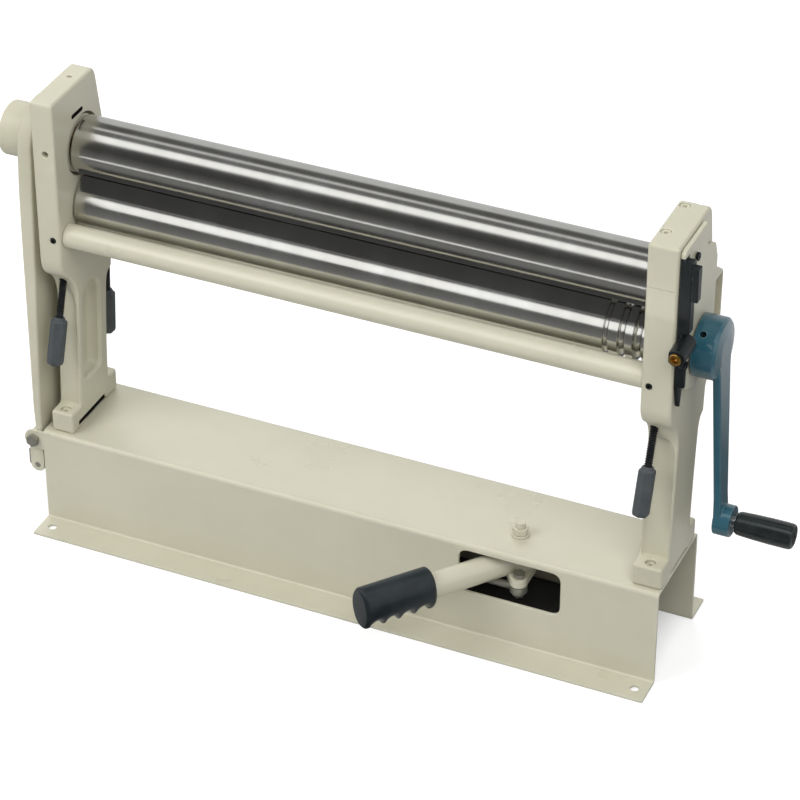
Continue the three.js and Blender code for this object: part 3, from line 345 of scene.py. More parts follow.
# Sprayed enamel: fine orange peel over the slow waves of the metal below.
tree, given, wanted = effect("enamel skin", {"Grain": 0.0015, "Waves": 0.02}, "Height")
peel = texture(tree, "Noise", given["Grain"], Detail=3.0)
waves = texture(tree, "Noise", given["Waves"], Detail=3.0)
peel = maths(tree, "MULTIPLY", peel, 0.35)
feed(tree, wanted, {"Height": maths(tree, "ADD", peel, waves)})
enamel_skin = tree

# Slow drifts of tone over a surface, and small specks caught in it.
tree, given, wanted = effect("tone drift", {"Patch": 0.09, "Speck": 0.004}, "Drift", "Specks")
cloud = texture(tree, "Noise", given["Patch"], Detail=5.0, Roughness=0.6)
cells = texture(tree, "Voronoi", given["Speck"], Randomness=1.0)
feed(tree, wanted, {
    "Drift": spread(tree, cloud, 0.3, 0.7),
    "Specks": spread(tree, cells, 0.12, 0.04),
})
tone_drift = tree

# Edges that hands and tools have rubbed, found where a rounded normal leaves the true one.
tree, given, wanted = effect("rubbed edges", {"Width": 0.0012, "Amount": 1.0}, "Mask")
eased = node(tree, "Bevel", {"Radius": given["Width"]}, samples=6).outputs[0]
true = node(tree, "NewGeometry").outputs["Normal"]
match = node(tree, "VectorMath", {0: eased, 1: true}, operation="DOT_PRODUCT").outputs["Value"]
sharp = spread(tree, match, 0.995, 0.86)
patchy = spread(tree, texture(tree, "Noise", 260.0, Detail=6.0), 0.38, 0.62)
worn = maths(tree, "MULTIPLY", sharp, patchy)
feed(tree, wanted, {"Mask": maths(tree, "MULTIPLY", worn, given["Amount"])})
rubbed_edges = tree


def placed(tree, group, **inputs):
    """A node group in a material, with its own values."""
    return node(tree, "Group", inputs, node_tree=group).outputs


def blank_finish(name):
    finish = bpy.data.materials.new(name)
    finish.use_nodes = True
    tree = finish.node_tree
    return finish, tree, tree.nodes["Principled BSDF"]


def rubbed(tree, colour, width, amount, code):
    """A colour that gives way to another along the rubbed edges."""
    edges = placed(tree, rubbed_edges, Width=width, Amount=amount)
    return blend_colour(tree, edges["Mask"], colour, tone(code))


def bumps(tree, height, strength, distance):
    """The normal of a surface with a relief of a given depth in metres."""
    inputs = {"Height": height, "Strength": strength, "Distance": distance}
    return node(tree, "Bump", inputs).outputs[0]


def painted(name, light, dark, gloss, grain, bump, coat):
    """Grey-cream machine enamel on a casting or on sheet."""
    finish, tree, surface = blank_finish(name)
    drift = placed(tree, tone_drift, Patch=0.11, Speck=0.011)
    skin = placed(tree, enamel_skin, Grain=grain, Waves=grain * 9)
    colour = blend_colour(tree, drift["Drift"], tone(dark), tone(light))
    specks = maths(tree, "MULTIPLY", drift["Specks"], 0.07)
    colour = blend_colour(tree, specks, colour, tone("8d8a78"))
    feed(tree, surface, {
        "Base Color": rubbed(tree, colour, 0.0016, 0.5, "e2dfd0"),
        "Roughness": spread(tree, drift["Drift"], 0, 1, gloss - 0.04, gloss + 0.05),
        "Normal": bumps(tree, skin["Height"], bump, 0.0004),
        "Coat Weight": coat,
        "Coat Roughness": 0.15,
    })
    return finish


sheet_enamel = painted("sheet enamel", "d0cdb9", "c9c6b1", 0.3, 0.0024, 0.25, 0.5)

frame_low, frame_high = measured("left_frame")
right_low, right_high = measured("right_frame")
base_low, base_high = measured("base_channel")
base_top = base_high.z
flange_width = 33
sheet = 3
bend = 2
base_front = base_low.y + flange_width
base_rear = base_high.y - flange_width
base_left = frame_low.x - 8
base_right = right_high.x
ear_radius = 11
hinge_x = base_left - 3 - 8
hinge_z = base_top - 13
lever_z = base_top - 29
pivot = (180, base_front + 37)


def folded_line(low_radius, high_radius):
    """One face of the folded sheet in Y and Z, with its radii at the flanges and at the top."""
    outer = bend + sheet
    line = arc(base_front - bend, outer, low_radius, -90, 0)
    line += arc(base_front + outer, base_top - outer, high_radius, 180, 90)
    line += arc(base_rear - outer, base_top - outer, high_radius, 90, 0)
    return line + arc(base_rear + bend, outer, low_radius, 180, 270)


channel_section = [(base_low.y, 0), *folded_line(bend + sheet, bend)]
channel_section += [(base_high.y, 0), (base_high.y, sheet)]
channel_section += [*reversed(folded_line(bend, bend + sheet)), (base_low.y, sheet)]


def rounded_box(a0, a1, b0, b1, radius, steps=8):
    return softened(rectangle(a0, a1, b0, b1), radius, steps=steps)


channel_section = softened(channel_section, 0.7, steps=3)
base = slab("base_sheet", channel_section, rounded_ends(base_left, base_right, 0.5, 2))
for front, rear in ((base_front, base_front + sheet), (base_rear - sheet, base_rear)):
    ear = arc(hinge_x, hinge_z, ear_radius, 90, 270, 24)
    ear += [(base_left + 12, hinge_z - ear_radius), (base_left + 12, hinge_z + ear_radius)]
    base = welded(base, slab("ear", ear, rounded_ends(front + 0.002, rear - 0.002, 0.5, 2), "y"))
slot = rounded_box(pivot[0] - 51, pivot[0] + 58, lever_z - 30, lever_z + 21, 11, 10)
base_cutters = [punch(slot, base_front, 9, "y", 0.6)]
base_cutters.append(punch(circle(hinge_x, hinge_z, 4.2), base_front, 200, "y", 0.4))
base_cutters.append(punch(circle(*pivot, 4.8), base_top, -9, "z", 0.4))
for x in (base_left + 14, base_right - 14):
    for y in (base_front - flange_width / 2, base_rear + flange_width / 2):
        base_cutters.append(punch(circle(x, y, 4.5), sheet, -9, "z", 0.5))
foot_rows = (-46.5, 32.5)
foot_columns = (middle_of("left_frame", 0), middle_of("right_frame", 0))
for x in foot_columns:
    for y in foot_rows:
        base_cutters.append(punch(circle(x, y, 3.3), base_top, -9, "z", 0.3))
base = settle(carved(base, *base_cutters), sheet_enamel)
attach(base, "machine")
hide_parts("base_channel")

# The two frames and the right bearing cap: grey iron castings with soft edges and a dished pocket
# in each leg. The bores, the bearing windows and the screw holes are machined, and the left frame
# is bored right through for the swing arm's nose. They are bolted down and painted like the base.
cast_enamel = painted("cast enamel", "cdcab5", "c5c2ac", 0.42, 0.0032, 0.5, 0.25)

tree, given, wanted = effect("machined marks", {"Pitch": 0.0006}, "Lines", "Cloud")
cloud = texture(tree, "Noise", 60.0, Detail=5.0)
feed(tree, wanted, {
    "Lines": texture(tree, "Noise", given["Pitch"], Detail=4.0, Roughness=0.7),
    "Cloud": spread(tree, cloud, 0.35, 0.65),
})
machined_marks = tree


def bare_metal(name, light, dark, metallic, rough, pitch=0.0006, bump=0.25):
    """A plated, blackened or bare metal, cloudy from handling and finely marked."""
    finish, tree, surface = blank_finish(name)
    marks = placed(tree, machined_marks, Pitch=pitch)
    colour = blend_colour(tree, marks["Cloud"], tone(dark), tone(light))
    feed(tree, surface, {
        "Base Color": rubbed(tree, colour, 0.0007, 0.6, "b9bab6"),
        "Roughness": spread(tree, marks["Cloud"], 0, 1, rough + 0.08, rough - 0.05),
        "Normal": bumps(tree, marks["Lines"], bump, 0.00015),
        "Metallic": metallic,
    })
    return finish


head_front = frame_low.y
lug_back = frame_high.y
foot_low = frame_low.z
frame_top = frame_high.z
upper_axis = middle_of("upper_roll", 2)
lower_axis = middle_of("lower_roll", 2)
rear_axis = middle_of("rear_roll", 1)
foot_high = foot_low + 24
seam = upper_axis + 25
front_tilt = radians(18)
rear_tilt = radians(4)
front_screw_offset = -7.6
tie_place = (middle_of("tie_bar", 1), middle_of("tie_bar", 2))

# The side of a frame in Y and Z: foot, leg, and a head with a lug behind for the rear roll.
waist = 279
line = drawn(
    (-56, foot_low), (-30, foot_low), (-28, foot_low + 2), (16, foot_low + 2), (18, foot_low),
    (41, foot_low), (41, foot_high), (24, foot_high),
    ((26, foot_high + 60), (32, waist - 30)), ((34, waist - 17), (44, waist - 17)),
    (46, waist + 11), ((62, waist + 34), (lug_back, 338)), (lug_back, 404),
    ((lug_back - 20, 418), (45, 430)),
    (35, frame_top - 14), ((33, frame_top), (25, frame_top)), (head_front + 4, frame_top),
    ((head_front, frame_top), (head_front, frame_top - 4)), (head_front, 322),
    ((head_front, 306), (head_front + 11, 298)), ((-29, 285), (-29, 263)), (-37, foot_high),
    (-56, foot_high),
)
frame_side = softened(line, 3.2)


def tilted(piece, tilt, y, x=0):
    """A piece drawn about an origin, leant back and put at the lower roll's height."""
    piece.data.transform(Matrix.Translation((x, y, lower_axis)) @ Matrix.Rotation(-tilt, 4, "X"))
    return piece


def window(side_x, tilt, y, width, low, high):
    """A cutter for the window that a bearing block slides in."""
    cutter = block(side_x - 40, side_x + 40, -width / 2, width / 2, low, high)
    return tilted(cutter, tilt, y)


def tilted_hole(x, y, offset, tilt):
    """A cutter for the way of an adjusting screw, below its bearing block."""
    return tilted(prism(circle(x, offset, 4.3, 24), -130, -5, "z"), tilt, y)


def hollow(x, half_width, depth):
    """A cutter for the shallow channel down the front of a leg, rounded off under the head."""
    low, high, dome = foot_high + 0.4, foot_high + 140, 26
    slope = 8 / 128
    rings = [(place, 1.0) for place in (low, low + 40, low + 80, high - dome)]
    for i in range(1, 9):
        t = pi / 2 * i / 9
        rings.append((high - dome + dome * sin(t), cos(t)))
    return loft("cutter", [
        [(x + half_width * size * cos(ROUND * j / 48),
          -37 + (place - foot_high) * slope - 0.4 + depth * size * sin(ROUND * j / 48), place)
         for j in range(48)]
        for place, size in rings
    ])


# Painted shade: a near-black iron finish put inside the slits and on a strip of the left frame's
# bore, standing in for the shade there.
shade_black_iron = bare_metal("shade black iron", "1d1d1b", "121211", 0.3, 0.7)
foot_slit = (-43, 13, foot_low + 4, foot_low + 9)
oil_slit = (-19, 4, 467, 472)
bore_strip = (-41.4, -28.1, 441.1, 448.9)


def darkened_for_shade(piece, *places):
    """Near-black iron finish on the faces whose middles lie in places given in Y and Z, as painted
    shade.
    """
    margin = 0.1
    piece.data.materials.append(shade_black_iron)
    for polygon in piece.data.polygons:
        y, z = ((polygon.center - datum) / MM).yz
        for y0, y1, z0, z1 in places:
            if y0 - margin < y < y1 + margin and z0 - margin < z < z1 + margin:
                polygon.material_index = 1


line = [(-25, foot_high + 25), (9, foot_high + 25)]
line += arc(-2, 251, 17, 0, 180, 20)
leg_pocket = softened(line, 8)


def both_sides(name):
    """Where a left and a right node sit along the machine."""
    return {side: middle_of(name + side, 0) for side in ("left", "right")}


block_x = both_sides("lower_bearing_")
rear_block_x = both_sides("rear_bearing_")
tie_screw_x = both_sides("tie_set_screw_")


def frame_cutters(side):
    """What both frames have cut into them: windows, screw ways, pocket, dish and foot holes."""
    inner = frame_high.x if side == "left" else right_low.x
    outward = -1 if side == "left" else 1
    middle = foot_columns[0] if side == "left" else foot_columns[1]
    half = abs(middle - inner)
    cutters = [
        punch(leg_pocket, inner, outward * 13, "x", 3.0, 8.0),
        window(inner, front_tilt, 0, 32.6, -24, 23),
        window(inner, rear_tilt, rear_axis, 26.6, -15.3, 36),
        tilted_hole(block_x[side], 0, front_screw_offset, front_tilt),
        tilted_hole(rear_block_x[side], rear_axis, 0, rear_tilt),
        punch(circle(*tie_place, 8.2), inner, outward * 14.3, "x", 0.3),
        punch(circle(tie_screw_x[side], tie_place[1], 3.3), head_front, 24, "y", 0.6),
        hollow(middle, half - 2.2, 3.4),
        punch(rounded_box(*foot_slit, 2, 5), inner, outward * 9, "x", 0.3),
    ]
    for y in foot_rows:
        cutters.append(punch(circle(middle, y, 5.4), foot_high, -9, "z", 0.6))
        cutters.append(prism(circle(middle, y, 3.3, 24), 100, foot_high, "z"))
    return cutters


left_frame = slab("left_casting", frame_side, rounded_ends(frame_low.x, frame_high.x, 3.0))
left_cutters = frame_cutters("left")
left_cutters += [
    prism(circle(0, upper_axis, 33, 72), -340, -300),
    prism(rounded_box(*oil_slit, 2.2, 6), -340, -300),
    punch(circle(-319.5, 445, 3.5), head_front, 12, "y", 0.6),
    punch(circle(-321.5, 4, 2.5), frame_top, -10, "z", 0.7),
]
left_frame = settle(carved(left_frame, *left_cutters), cast_enamel)
# Painted shade: near-black faces in the oil slit, the foot slit and a strip of the bore.
darkened_for_shade(left_frame, oil_slit, bore_strip, foot_slit)
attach(left_frame, "machine")
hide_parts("left_frame")

gear_room = 36.05
pocket_floor = right_high.x - 15
cover_screws = ((-24, 479), (-43, 370))


def gear_pocket():
    line = arc(0, upper_axis, gear_room, 0, 180, 32)
    line += arc(0, lower_axis - 3, gear_room, 180, 360, 32)
    return prism(line, pocket_floor, right_high.x + 5)


def right_casting(name, low, high):
    """The right frame's casting between two heights, where it is split at the seam."""
    whole = slab(name, frame_side, rounded_ends(right_low.x, right_high.x, 3.0))
    return carved(
        whole,
        block(300, 360, -80, 100, 50, low),
        block(300, 360, -80, 100, high, 550),
        gear_pocket(),
    )


cap_rows = (-30, 20.5)
cap_screw_x = right_low.x + 8
right_frame = right_casting("right_casting", 100, seam - 0.25)
right_cutters = frame_cutters("right")
right_cutters.append(block(300, pocket_floor + 1, -14.5, 14.5, 412.7, 460))
right_frame = settle(carved(right_frame, *right_cutters), cast_enamel)
# Painted shade: near-black faces in the foot slit.
darkened_for_shade(right_frame, foot_slit)
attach(right_frame, "machine")
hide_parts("right_frame")

bearing_cap = right_casting("bearing_cap_casting", seam + 0.25, 550)
notch = [
    (right_high.x - 11 + 7 * sin(t), 33.5 + 7 * cos(t))
    for t in (pi, pi / 3, -pi / 3)
]
cap_cutters = [prism(notch, 440, 510, "z")]
for y in cap_rows:
    cap_cutters.append(punch(circle(cap_screw_x, y, 5.3), frame_top, -7, "z", 0.8))
    cap_cutters.append(prism(circle(cap_screw_x, y, 3.3, 24), 440, 500, "z"))
bearing_cap = settle(carved(bearing_cap, *cap_cutters), cast_enamel)
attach(bearing_cap, "machine")
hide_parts("right_bearing_cap")

# Screws and nuts that hold the frames, the cap, the tie bar and the cover: blackened socket screws,
# zinc-plated nuts. The screws of the cap and of the feet were painted over with the castings.
black_oxide = bare_metal("black oxide", "2b2e30", "1b1d1f", 0.75, 0.42)
zinc_plate = bare_metal("zinc plate", "b2b1a6", "94938a", 0.85, 0.38)


def dress(name, finish, edge=0.25, limit=48):
    """A finish for a node that keeps its own shape, with its edges eased."""
    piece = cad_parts[name]
    piece.data.materials.clear()
    piece.data.materials.append(finish)
    weld = piece.modifiers.new("weld", "WELD")
    weld.merge_threshold = 0.000005
    ease = piece.modifiers.new("ease", "BEVEL")
    ease.width = edge * MM
    ease.segments = 2
    ease.limit_method = "ANGLE"
    ease.angle_limit = radians(limit)
    ease.harden_normals = True


for side in ("left", "right"):
    dress("tie_set_screw_" + side, black_oxide)
    for row in ("front", "rear"):
        dress("foot_screw_" + side + "_" + row, cast_enamel)
        dress("foot_nut_" + side + "_" + row, zinc_plate)
for row in ("front", "rear"):
    dress("cap_screw_" + row, cast_enamel)
for place_name in ("upper", "lower"):
    dress("cover_screw_" + place_name, black_oxide)

# The tie bar: a turned steel bar between the frames, painted with them. Its spigots sit in blind
# bores and are held by the set screws.


def turned(name, profile, centre, along="x", sides=96, ring_shaped=False):
    """A turned solid from stations and radii, about an axis through a centre."""
    rings = [
        [AXES[along](a, b, station) for a, b in circle(*centre, radius, sides)]
        for station, radius in profile
    ]
    return loft(name, rings, ring_shaped)


tie_low, tie_high = measured("tie_bar")
tie_face = right_low.x - 0.3
tie_profile = softened([
    (tie_low.x, 7.2), (tie_low.x, 8), (-tie_face, 8), (-tie_face, 12.5), (tie_face, 12.5),
    (tie_face, 8), (tie_high.x, 8), (tie_high.x, 7.2),
], 0.8, closed=False, steps=3)
tie_bar = settle(turned("tie_rod", tie_profile, tie_place), sheet_enamel)
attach(tie_bar, "machine")
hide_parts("tie_bar")

# The three rolls: bars of carbon steel turned and ground all over, with their journals in one
# piece. The lower and rear rolls have three round wire grooves near the crank's end.
roll_radius = 30
roll_half = right_low.x - 2
groove_radii = (2.5, 3.5, 4.5)
groove_pitch = 16
groove_inset = 14


def roll_profile(grooved):
    """Stations and radii along a roll's face from left to right."""
    left, right = -roll_half, roll_half
    line = [(left, roll_radius - 1.2), (left + 0.35, roll_radius - 0.4), (left + 1.2, roll_radius)]
    if grooved:
        for i, radius in enumerate(groove_radii):
            middle = right - groove_inset - (len(groove_radii) - 1 - i) * groove_pitch
            line.append((middle - radius - 0.5, roll_radius))
            line.append((middle - radius - 0.1, roll_radius - 0.25))
            for j in range(1, 16):
                t = pi * (j / 16 - 0.5)
                line.append((middle + radius * sin(t), roll_radius - radius * cos(t)))
            line.append((middle + radius + 0.1, roll_radius - 0.25))
            line.append((middle + radius + 0.5, roll_radius))
    line += [(right - 1.2, roll_radius), (right - 0.35, roll_radius - 0.4)]
    return line + [(right, roll_radius - 1.2)]


tree, given, wanted = effect(
    "ground lines", {"Lines per metre": 2600.0}, "Lines", "Bands", "Cloud"
)
place = node(tree, "TexCoord").outputs["Object"]
along_x = node(tree, "SeparateXYZ", {0: place}).outputs[0]
turns = maths(tree, "MULTIPLY", along_x, given["Lines per metre"])
lines = node(tree, "TexNoise", {"W": turns, "Scale": 1.0, "Detail": 3.0}, noise_dimensions="1D")
bands = node(tree, "TexNoise", {"W": along_x, "Scale": 38.0, "Detail": 4.0}, noise_dimensions="1D")
cloud = texture(tree, "Noise", 22.0, Detail=6.0)
feed(tree, wanted, {
    "Lines": lines.outputs[0],
    "Bands": spread(tree, bands.outputs[0], 0.35, 0.65),
    "Cloud": spread(tree, cloud, 0.35, 0.68),
})
ground_lines = tree

ground_steel, tree, surface = blank_finish("ground steel")
marks = placed(tree, ground_lines)
colour = blend_colour(tree, marks["Cloud"], tone("c6c5c0"), tone("cfcfcc"))
cloudy = spread(tree, marks["Cloud"], 0, 1, 0.15, 0.21)
lined = maths(tree, "MULTIPLY", spread(tree, marks["Lines"], 0.35, 0.65), 0.05)
banded = maths(tree, "MULTIPLY", marks["Bands"], 0.35)
feed(tree, surface, {
    "Base Color": blend_colour(tree, banded, colour, tone("b7b6b1")),
    "Roughness": maths(tree, "ADD", cloudy, lined),
    "Normal": bumps(tree, marks["Lines"], 0.05, 0.00002),
    "Metallic": 1.0,
    "Anisotropic": 0.5,
    "Anisotropic Rotation": 0.25,
    "Tangent": node(tree, "Tangent", direction_type="RADIAL", axis="X").outputs[0],
})

# Each row: axis, grooves, the rim's radius, the journals' radii beside the face, their ends' radii
# and the steps between them on the crank's side.
shaft_step = [(right_high.x, 11), (right_high.x, 10)]
rolls = {
    "upper": ((0, upper_axis), False, 29, (20, 11), (11.2, 10), []),
    "lower": ((0, lower_axis), True, 28, (11, 11), (10, 9), shaft_step),
    "rear": ((rear_axis, lower_axis), True, 28, (9, 9), (8, 8), []),
}
for name, (axis, grooved, rim, journals, tips, steps) in rolls.items():
    roll_name = name + "_roll"
    low, high = measured(roll_name)
    profile = [(low.x, tips[0]), (low.x + 1, tips[0] + 1), (-roll_half, journals[0])]
    profile += [(-roll_half, rim), *roll_profile(grooved)]
    profile += [(roll_half, rim), (roll_half, journals[1]), *steps]
    profile += [(high.x - 1, tips[1] + 1), (high.x, tips[1])]
    roll = settle(turned("ground_roll_" + name, profile, axis, sides=160), ground_steel)
    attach(roll, roll_name)
    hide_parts(roll_name)

# The bearing blocks: cast bronze, milled square and bored for the journals, oiled by hand.
bearing_bronze = bare_metal("bearing bronze", "b08a4a", "8d6a35", 1.0, 0.36, 0.0009, 0.3)
for side in ("left", "right"):
    dress("lower_bearing_" + side, bearing_bronze, 0.6)
    dress("rear_bearing_" + side, bearing_bronze, 0.6)
dress("upper_bearing_right", bearing_bronze, 0.6)
dress("arm_bush", bearing_bronze, 0.4)

# The gear pair behind the cover: hobbed steel spur gears, greased and dark.
gear_steel = bare_metal("greased gear steel", "4c4d4c", "2d2e2e", 0.8, 0.34, 0.0012, 0.3)
dress("upper_gear", gear_steel, 0.2)
dress("lower_gear", gear_steel, 0.2)

# The four adjusters: blackened steel screws of 2.5 mm pitch under the bearing blocks, each with a
# six-sided knob of dark grey moulded plastic pressed onto its lower end.
tree, given, wanted = effect("moulded skin", {"Grain": 0.0007}, "Height", "Cloud")
cloud = texture(tree, "Noise", 70.0, Detail=5.0)
feed(tree, wanted, {
    "Height": texture(tree, "Voronoi", given["Grain"], Randomness=0.9),
    "Cloud": spread(tree, cloud, 0.35, 0.65),
})
moulded_skin = tree


def moulded(name, light, dark, rough, grain, bump, rub, shine=0.5):
    """Moulded plastic or a baked black finish, with a fine skin and rubbed edges."""
    finish, tree, surface = blank_finish(name)
    skin = placed(tree, moulded_skin, Grain=grain)
    colour = blend_colour(tree, skin["Cloud"], tone(dark), tone(light))
    feed(tree, surface, {
        "Base Color": rubbed(tree, colour, 0.0012, rub, "7b8082"),
        "Roughness": spread(tree, skin["Cloud"], 0, 1, rough - 0.05, rough + 0.06),
        "Normal": bumps(tree, skin["Height"], bump, 0.0001),
        "Specular IOR Level": shine,
    })
    return finish


knob_plastic = moulded("knob plastic", "4d5255", "43484b", 0.5, 0.0006, 0.3, 0.5)
thread_pitch = 2.5
thread_depth = 0.9


def threaded_rod(name, low, high, radius, centre, plain=0):
    """A rod along Z with a thread cut down to a plain length at its foot."""
    rows_per_pitch = 6
    sides = 24
    profile = (1.0, 1.0, 0.45, 0.0, 0.0, 0.45)
    count = int((high - low) / thread_pitch * rows_per_pitch)
    rings = []
    for i in range(count + 1):
        height = low + (high - low) * i / count
        ring = []
        for j in range(sides):
            turn = ROUND * j / sides
            phase = (height / thread_pitch - j / sides) * rows_per_pitch
            first = int(phase // 1) % rows_per_pitch
            share = phase % 1
            level = profile[first] * (1 - share) + profile[(first + 1) % rows_per_pitch] * share
            cut_depth = 0 if height < low + plain else thread_depth * (1 - level)
            size = radius - cut_depth
            if i in (0, count):
                size = radius - thread_depth
            ring.append((centre[0] + size * cos(turn), centre[1] + size * sin(turn), height))
        rings.append(ring)
    return loft(name, rings)


def knob_blank(name, low, high, centre):
    """A six-sided knob with soft corners, eased ends and a round neck towards the rod."""
    across = 9
    neck = 2.5
    outline = softened(arc(*centre, across, -90, 210, 5), 1.6)
    body = high - neck
    stations = [(low, 2.2), (low + 0.4, 1.5), (low + 1.2, 0.8), (low + 2.6, 0.25), (low + 3.8, 0)]
    stations += [(body - 2.6, 0), (body - 1.4, 0.35), (body - 0.5, 1.1), (body, 2.0)]
    knob = slab(name, outline, stations, "z")
    collar = [(body - 3, 6.4), (body + 0.8, 6.2), (high - 0.5, 5.7), (high, 5.2)]
    knob = welded(knob, turned("neck", collar, centre, "z", 48))
    bore = [(low + 6, 4.2), (high + 2, 4.2)]
    return carved(knob, turned("bore", bore, centre, "z", 32))


front_row = (0, front_screw_offset, front_tilt, -20.3, 108)
rear_row = (rear_axis, 0, rear_tilt, -15.3, 128)
adjusters = []
for side in ("left", "right"):
    adjusters.append(("front_" + side, block_x[side], *front_row))
    adjusters.append(("rear_" + side, rear_block_x[side], *rear_row))
for place_name, x, y, offset, tilt, screw_top, reach in adjusters:
    body_name = place_name + "_adjuster"
    knob_top = screw_top - reach
    rod = threaded_rod("rod_" + place_name, knob_top - 45, screw_top, 4.0, (0, offset), 40)
    settle(tilted(rod, tilt, y, x), black_oxide, 60)
    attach(rod, body_name)
    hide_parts("adjusting_screw_" + place_name)
    knob = knob_blank("hex_knob_" + place_name, knob_top - 51, knob_top, (0, offset))
    settle(tilted(knob, tilt, y, x), knob_plastic, 30)
    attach(knob, body_name)
    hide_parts("adjusting_knob_" + place_name)

# The gear cover: a steel plate in the frames' enamel. Screwed along its front edge is a black
# stoved bracket with a stop block and a pad, whose barrel faces the operator and holds the brass
# oiler.
stoved_black = moulded("stoved black", "1d2325", "121617", 0.4, 0.0011, 0.25, 0.75, 0.25)
barrel_end = measured("gear_cover")[0].y
cover_face = right_high.x + 0.3
cover_outer = cover_face + 5
cover_front = head_front + 3
cover_top = frame_top - 3
oiler = (cover_outer + 2, lower_axis + 28)

rear = gear_room + 5
low = lower_axis - gear_room - 7
line = [
    (cover_front, cover_top - 3), (cover_front, lower_axis - 18), (cover_front + 7, low),
    (cover_front + 14, lower_axis - 24), (-gear_room + 4, low + 9), (-12, low), (12, low),
    (rear - 7, low + 9), (rear, lower_axis - 16), (rear, upper_axis + 12),
    (rear - 7, upper_axis + 30), (10, upper_axis + 40), (10, cover_top - 4), (6, cover_top),
    (cover_front + 3, cover_top),
]
cover_side = softened(line, 3)

strap_edge = cover_front + 12
strap_low = lower_axis - 44
strap_top = upper_axis + 61
cover_cutters = [prism(circle(0, lower_axis, 15, 64), cover_face - 1, cover_outer + 1)]
for y, z in cover_screws:
    cover_cutters.append(punch(circle(y, z, 2.8, 24), cover_outer, -9, "x", 0.3))
cover_cutters.append(
    block(cover_face - 1, cover_outer + 1, cover_front - 5, strap_edge + 0.2, 300, strap_top + 0.2)
)
cover = slab("cover_plate", cover_side, rounded_ends(cover_face, cover_outer, 1.2, 3))
cover = settle(carved(cover, *cover_cutters), cast_enamel)
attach(cover, "machine")
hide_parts("gear_cover")

strap = softened([
    (cover_front, strap_top), (cover_front, lower_axis - 18), (cover_front + 6, strap_low),
    (strap_edge, lower_axis - 26), (strap_edge, strap_top),
], 1)
bracket = slab("oiler_bracket", strap, rounded_ends(cover_face, cover_outer, 1.2, 3))
rib = [
    (cover_front, upper_axis - 20), (strap_edge, upper_axis - 20), (strap_edge, cover_top - 12),
    (cover_front + 8, cover_top - 9), (cover_front, cover_top - 9),
]
pad = rounded_box(cover_front, cover_front + 5, lower_axis - 17, lower_axis + 6, 1.2, 4)
stop = rounded_box(cover_front + 1, cover_front + 11, cover_top - 52, cover_top - 16, 1.2, 4)
barrel = [(barrel_end, 7.9), (barrel_end + 0.4, 8.6), (barrel_end + 1.2, 9), (strap_edge, 9)]
bracket = welded(
    bracket,
    slab("rib", softened(rib, 1), rounded_ends(cover_face + 1, cover_outer + 7, 1.2, 3)),
    slab("pad", pad, rounded_ends(cover_face + 1, cover_outer + 5, 1.0, 3)),
    slab("stop", stop, rounded_ends(cover_outer + 5, cover_outer + 13, 1.0, 3)),
    turned("barrel", barrel, oiler, "y", 64),
)
bracket_cutters = [
    block(cover_face - 20, cover_face, -90, 0, 320, 510),
    punch(circle(*oiler, 4.8), barrel_end, 12, "y", 1.0),
]
for y, z in cover_screws:
    bracket_cutters.append(prism(circle(y, z, 2.8, 24), cover_face - 5, cover_outer + 5))
bracket = settle(carved(bracket, *bracket_cutters), stoved_black)
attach(bracket, "machine")

brass = bare_metal("oiler brass", "c79a45", "9c7430", 1.0, 0.28, 0.0005, 0.2)
fitting_low, fitting_high = measured("lubricator_fitting")
fitting_rim = (
    (2, 4.4), (2, 5.6), (1.6, 6), (0.5, 6), (0, 5.4), (0, 3.4), (1.2, 2.9), (3.4, 2.4), (4.2, 1.4),
    (3.6, 0.5),
)
fitting_profile = [(fitting_high.y, 2.0), (fitting_high.y, 4.3)]
fitting_profile += [(fitting_low.y + back, radius) for back, radius in fitting_rim]
fitting = settle(turned("oiler_fitting", fitting_profile, oiler, "y", 48), brass)
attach(fitting, "machine")
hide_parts("lubricator_fitting")

# The crank: an iron casting in glossy blue-green enamel, with a round hub pinned to the lower
# roll's shaft by a set screw, a flat arm that tapers and leans out, and a boss for the grip's
# spindle.
crank_enamel, tree, surface = blank_finish("crank enamel")
drift = placed(tree, tone_drift, Patch=0.05, Speck=0.008)
skin = placed(tree, enamel_skin, Grain=0.003, Waves=0.014)
colour = blend_colour(tree, drift["Drift"], tone("255566"), tone("2f606f"))
feed(tree, surface, {
    "Base Color": rubbed(tree, colour, 0.0018, 0.7, "8aa8ac"),
    "Roughness": spread(tree, drift["Drift"], 0, 1, 0.28, 0.38),
    "Normal": bumps(tree, skin["Height"], 0.5, 0.0005),
    "Coat Weight": 0.7,
    "Coat Roughness": 0.06,
})

hub_left = cover_outer + 1.5
hub_right = hub_left + 25
crank_throw = 195
boss_x = hub_right + 2
boss_end = boss_x + 17
crank_z = lower_axis - crank_throw
hub_profile = softened([
    (hub_left, 29.5), (hub_left, 31), (hub_right - 4, 31), (hub_right - 1, 28), (hub_right + 1, 17),
    (hub_right + 1, 12),
], 1.6, closed=False)
crank = turned("crank_casting", hub_profile, (0, lower_axis), sides=96)
arm_rings = []
arm_steps = 36
for i in range(arm_steps + 1):
    t = i / arm_steps
    z = lower_axis + 4 - (crank_throw + 4) * t
    flare = max(0, 1 - t * 8) * 5 + max(0, (t - 0.86) / 0.14) * 3
    half = 17 - 6 * t + flare
    left = hub_right - 8 + 10 * t
    section = rounded_box(left, left + 8, -half, half, 3.2, 6)
    arm_rings.append([(a, b, z) for a, b in section])
arm = loft("arm", arm_rings)
boss_profile = softened([
    (boss_x, 13), (boss_x, 16), (boss_end, 16), (boss_end, 13),
], 1.8, closed=False)
crank = welded(crank, arm, turned("boss", boss_profile, (0, crank_z), sides=72))
crank_screw_turn = radians(38)
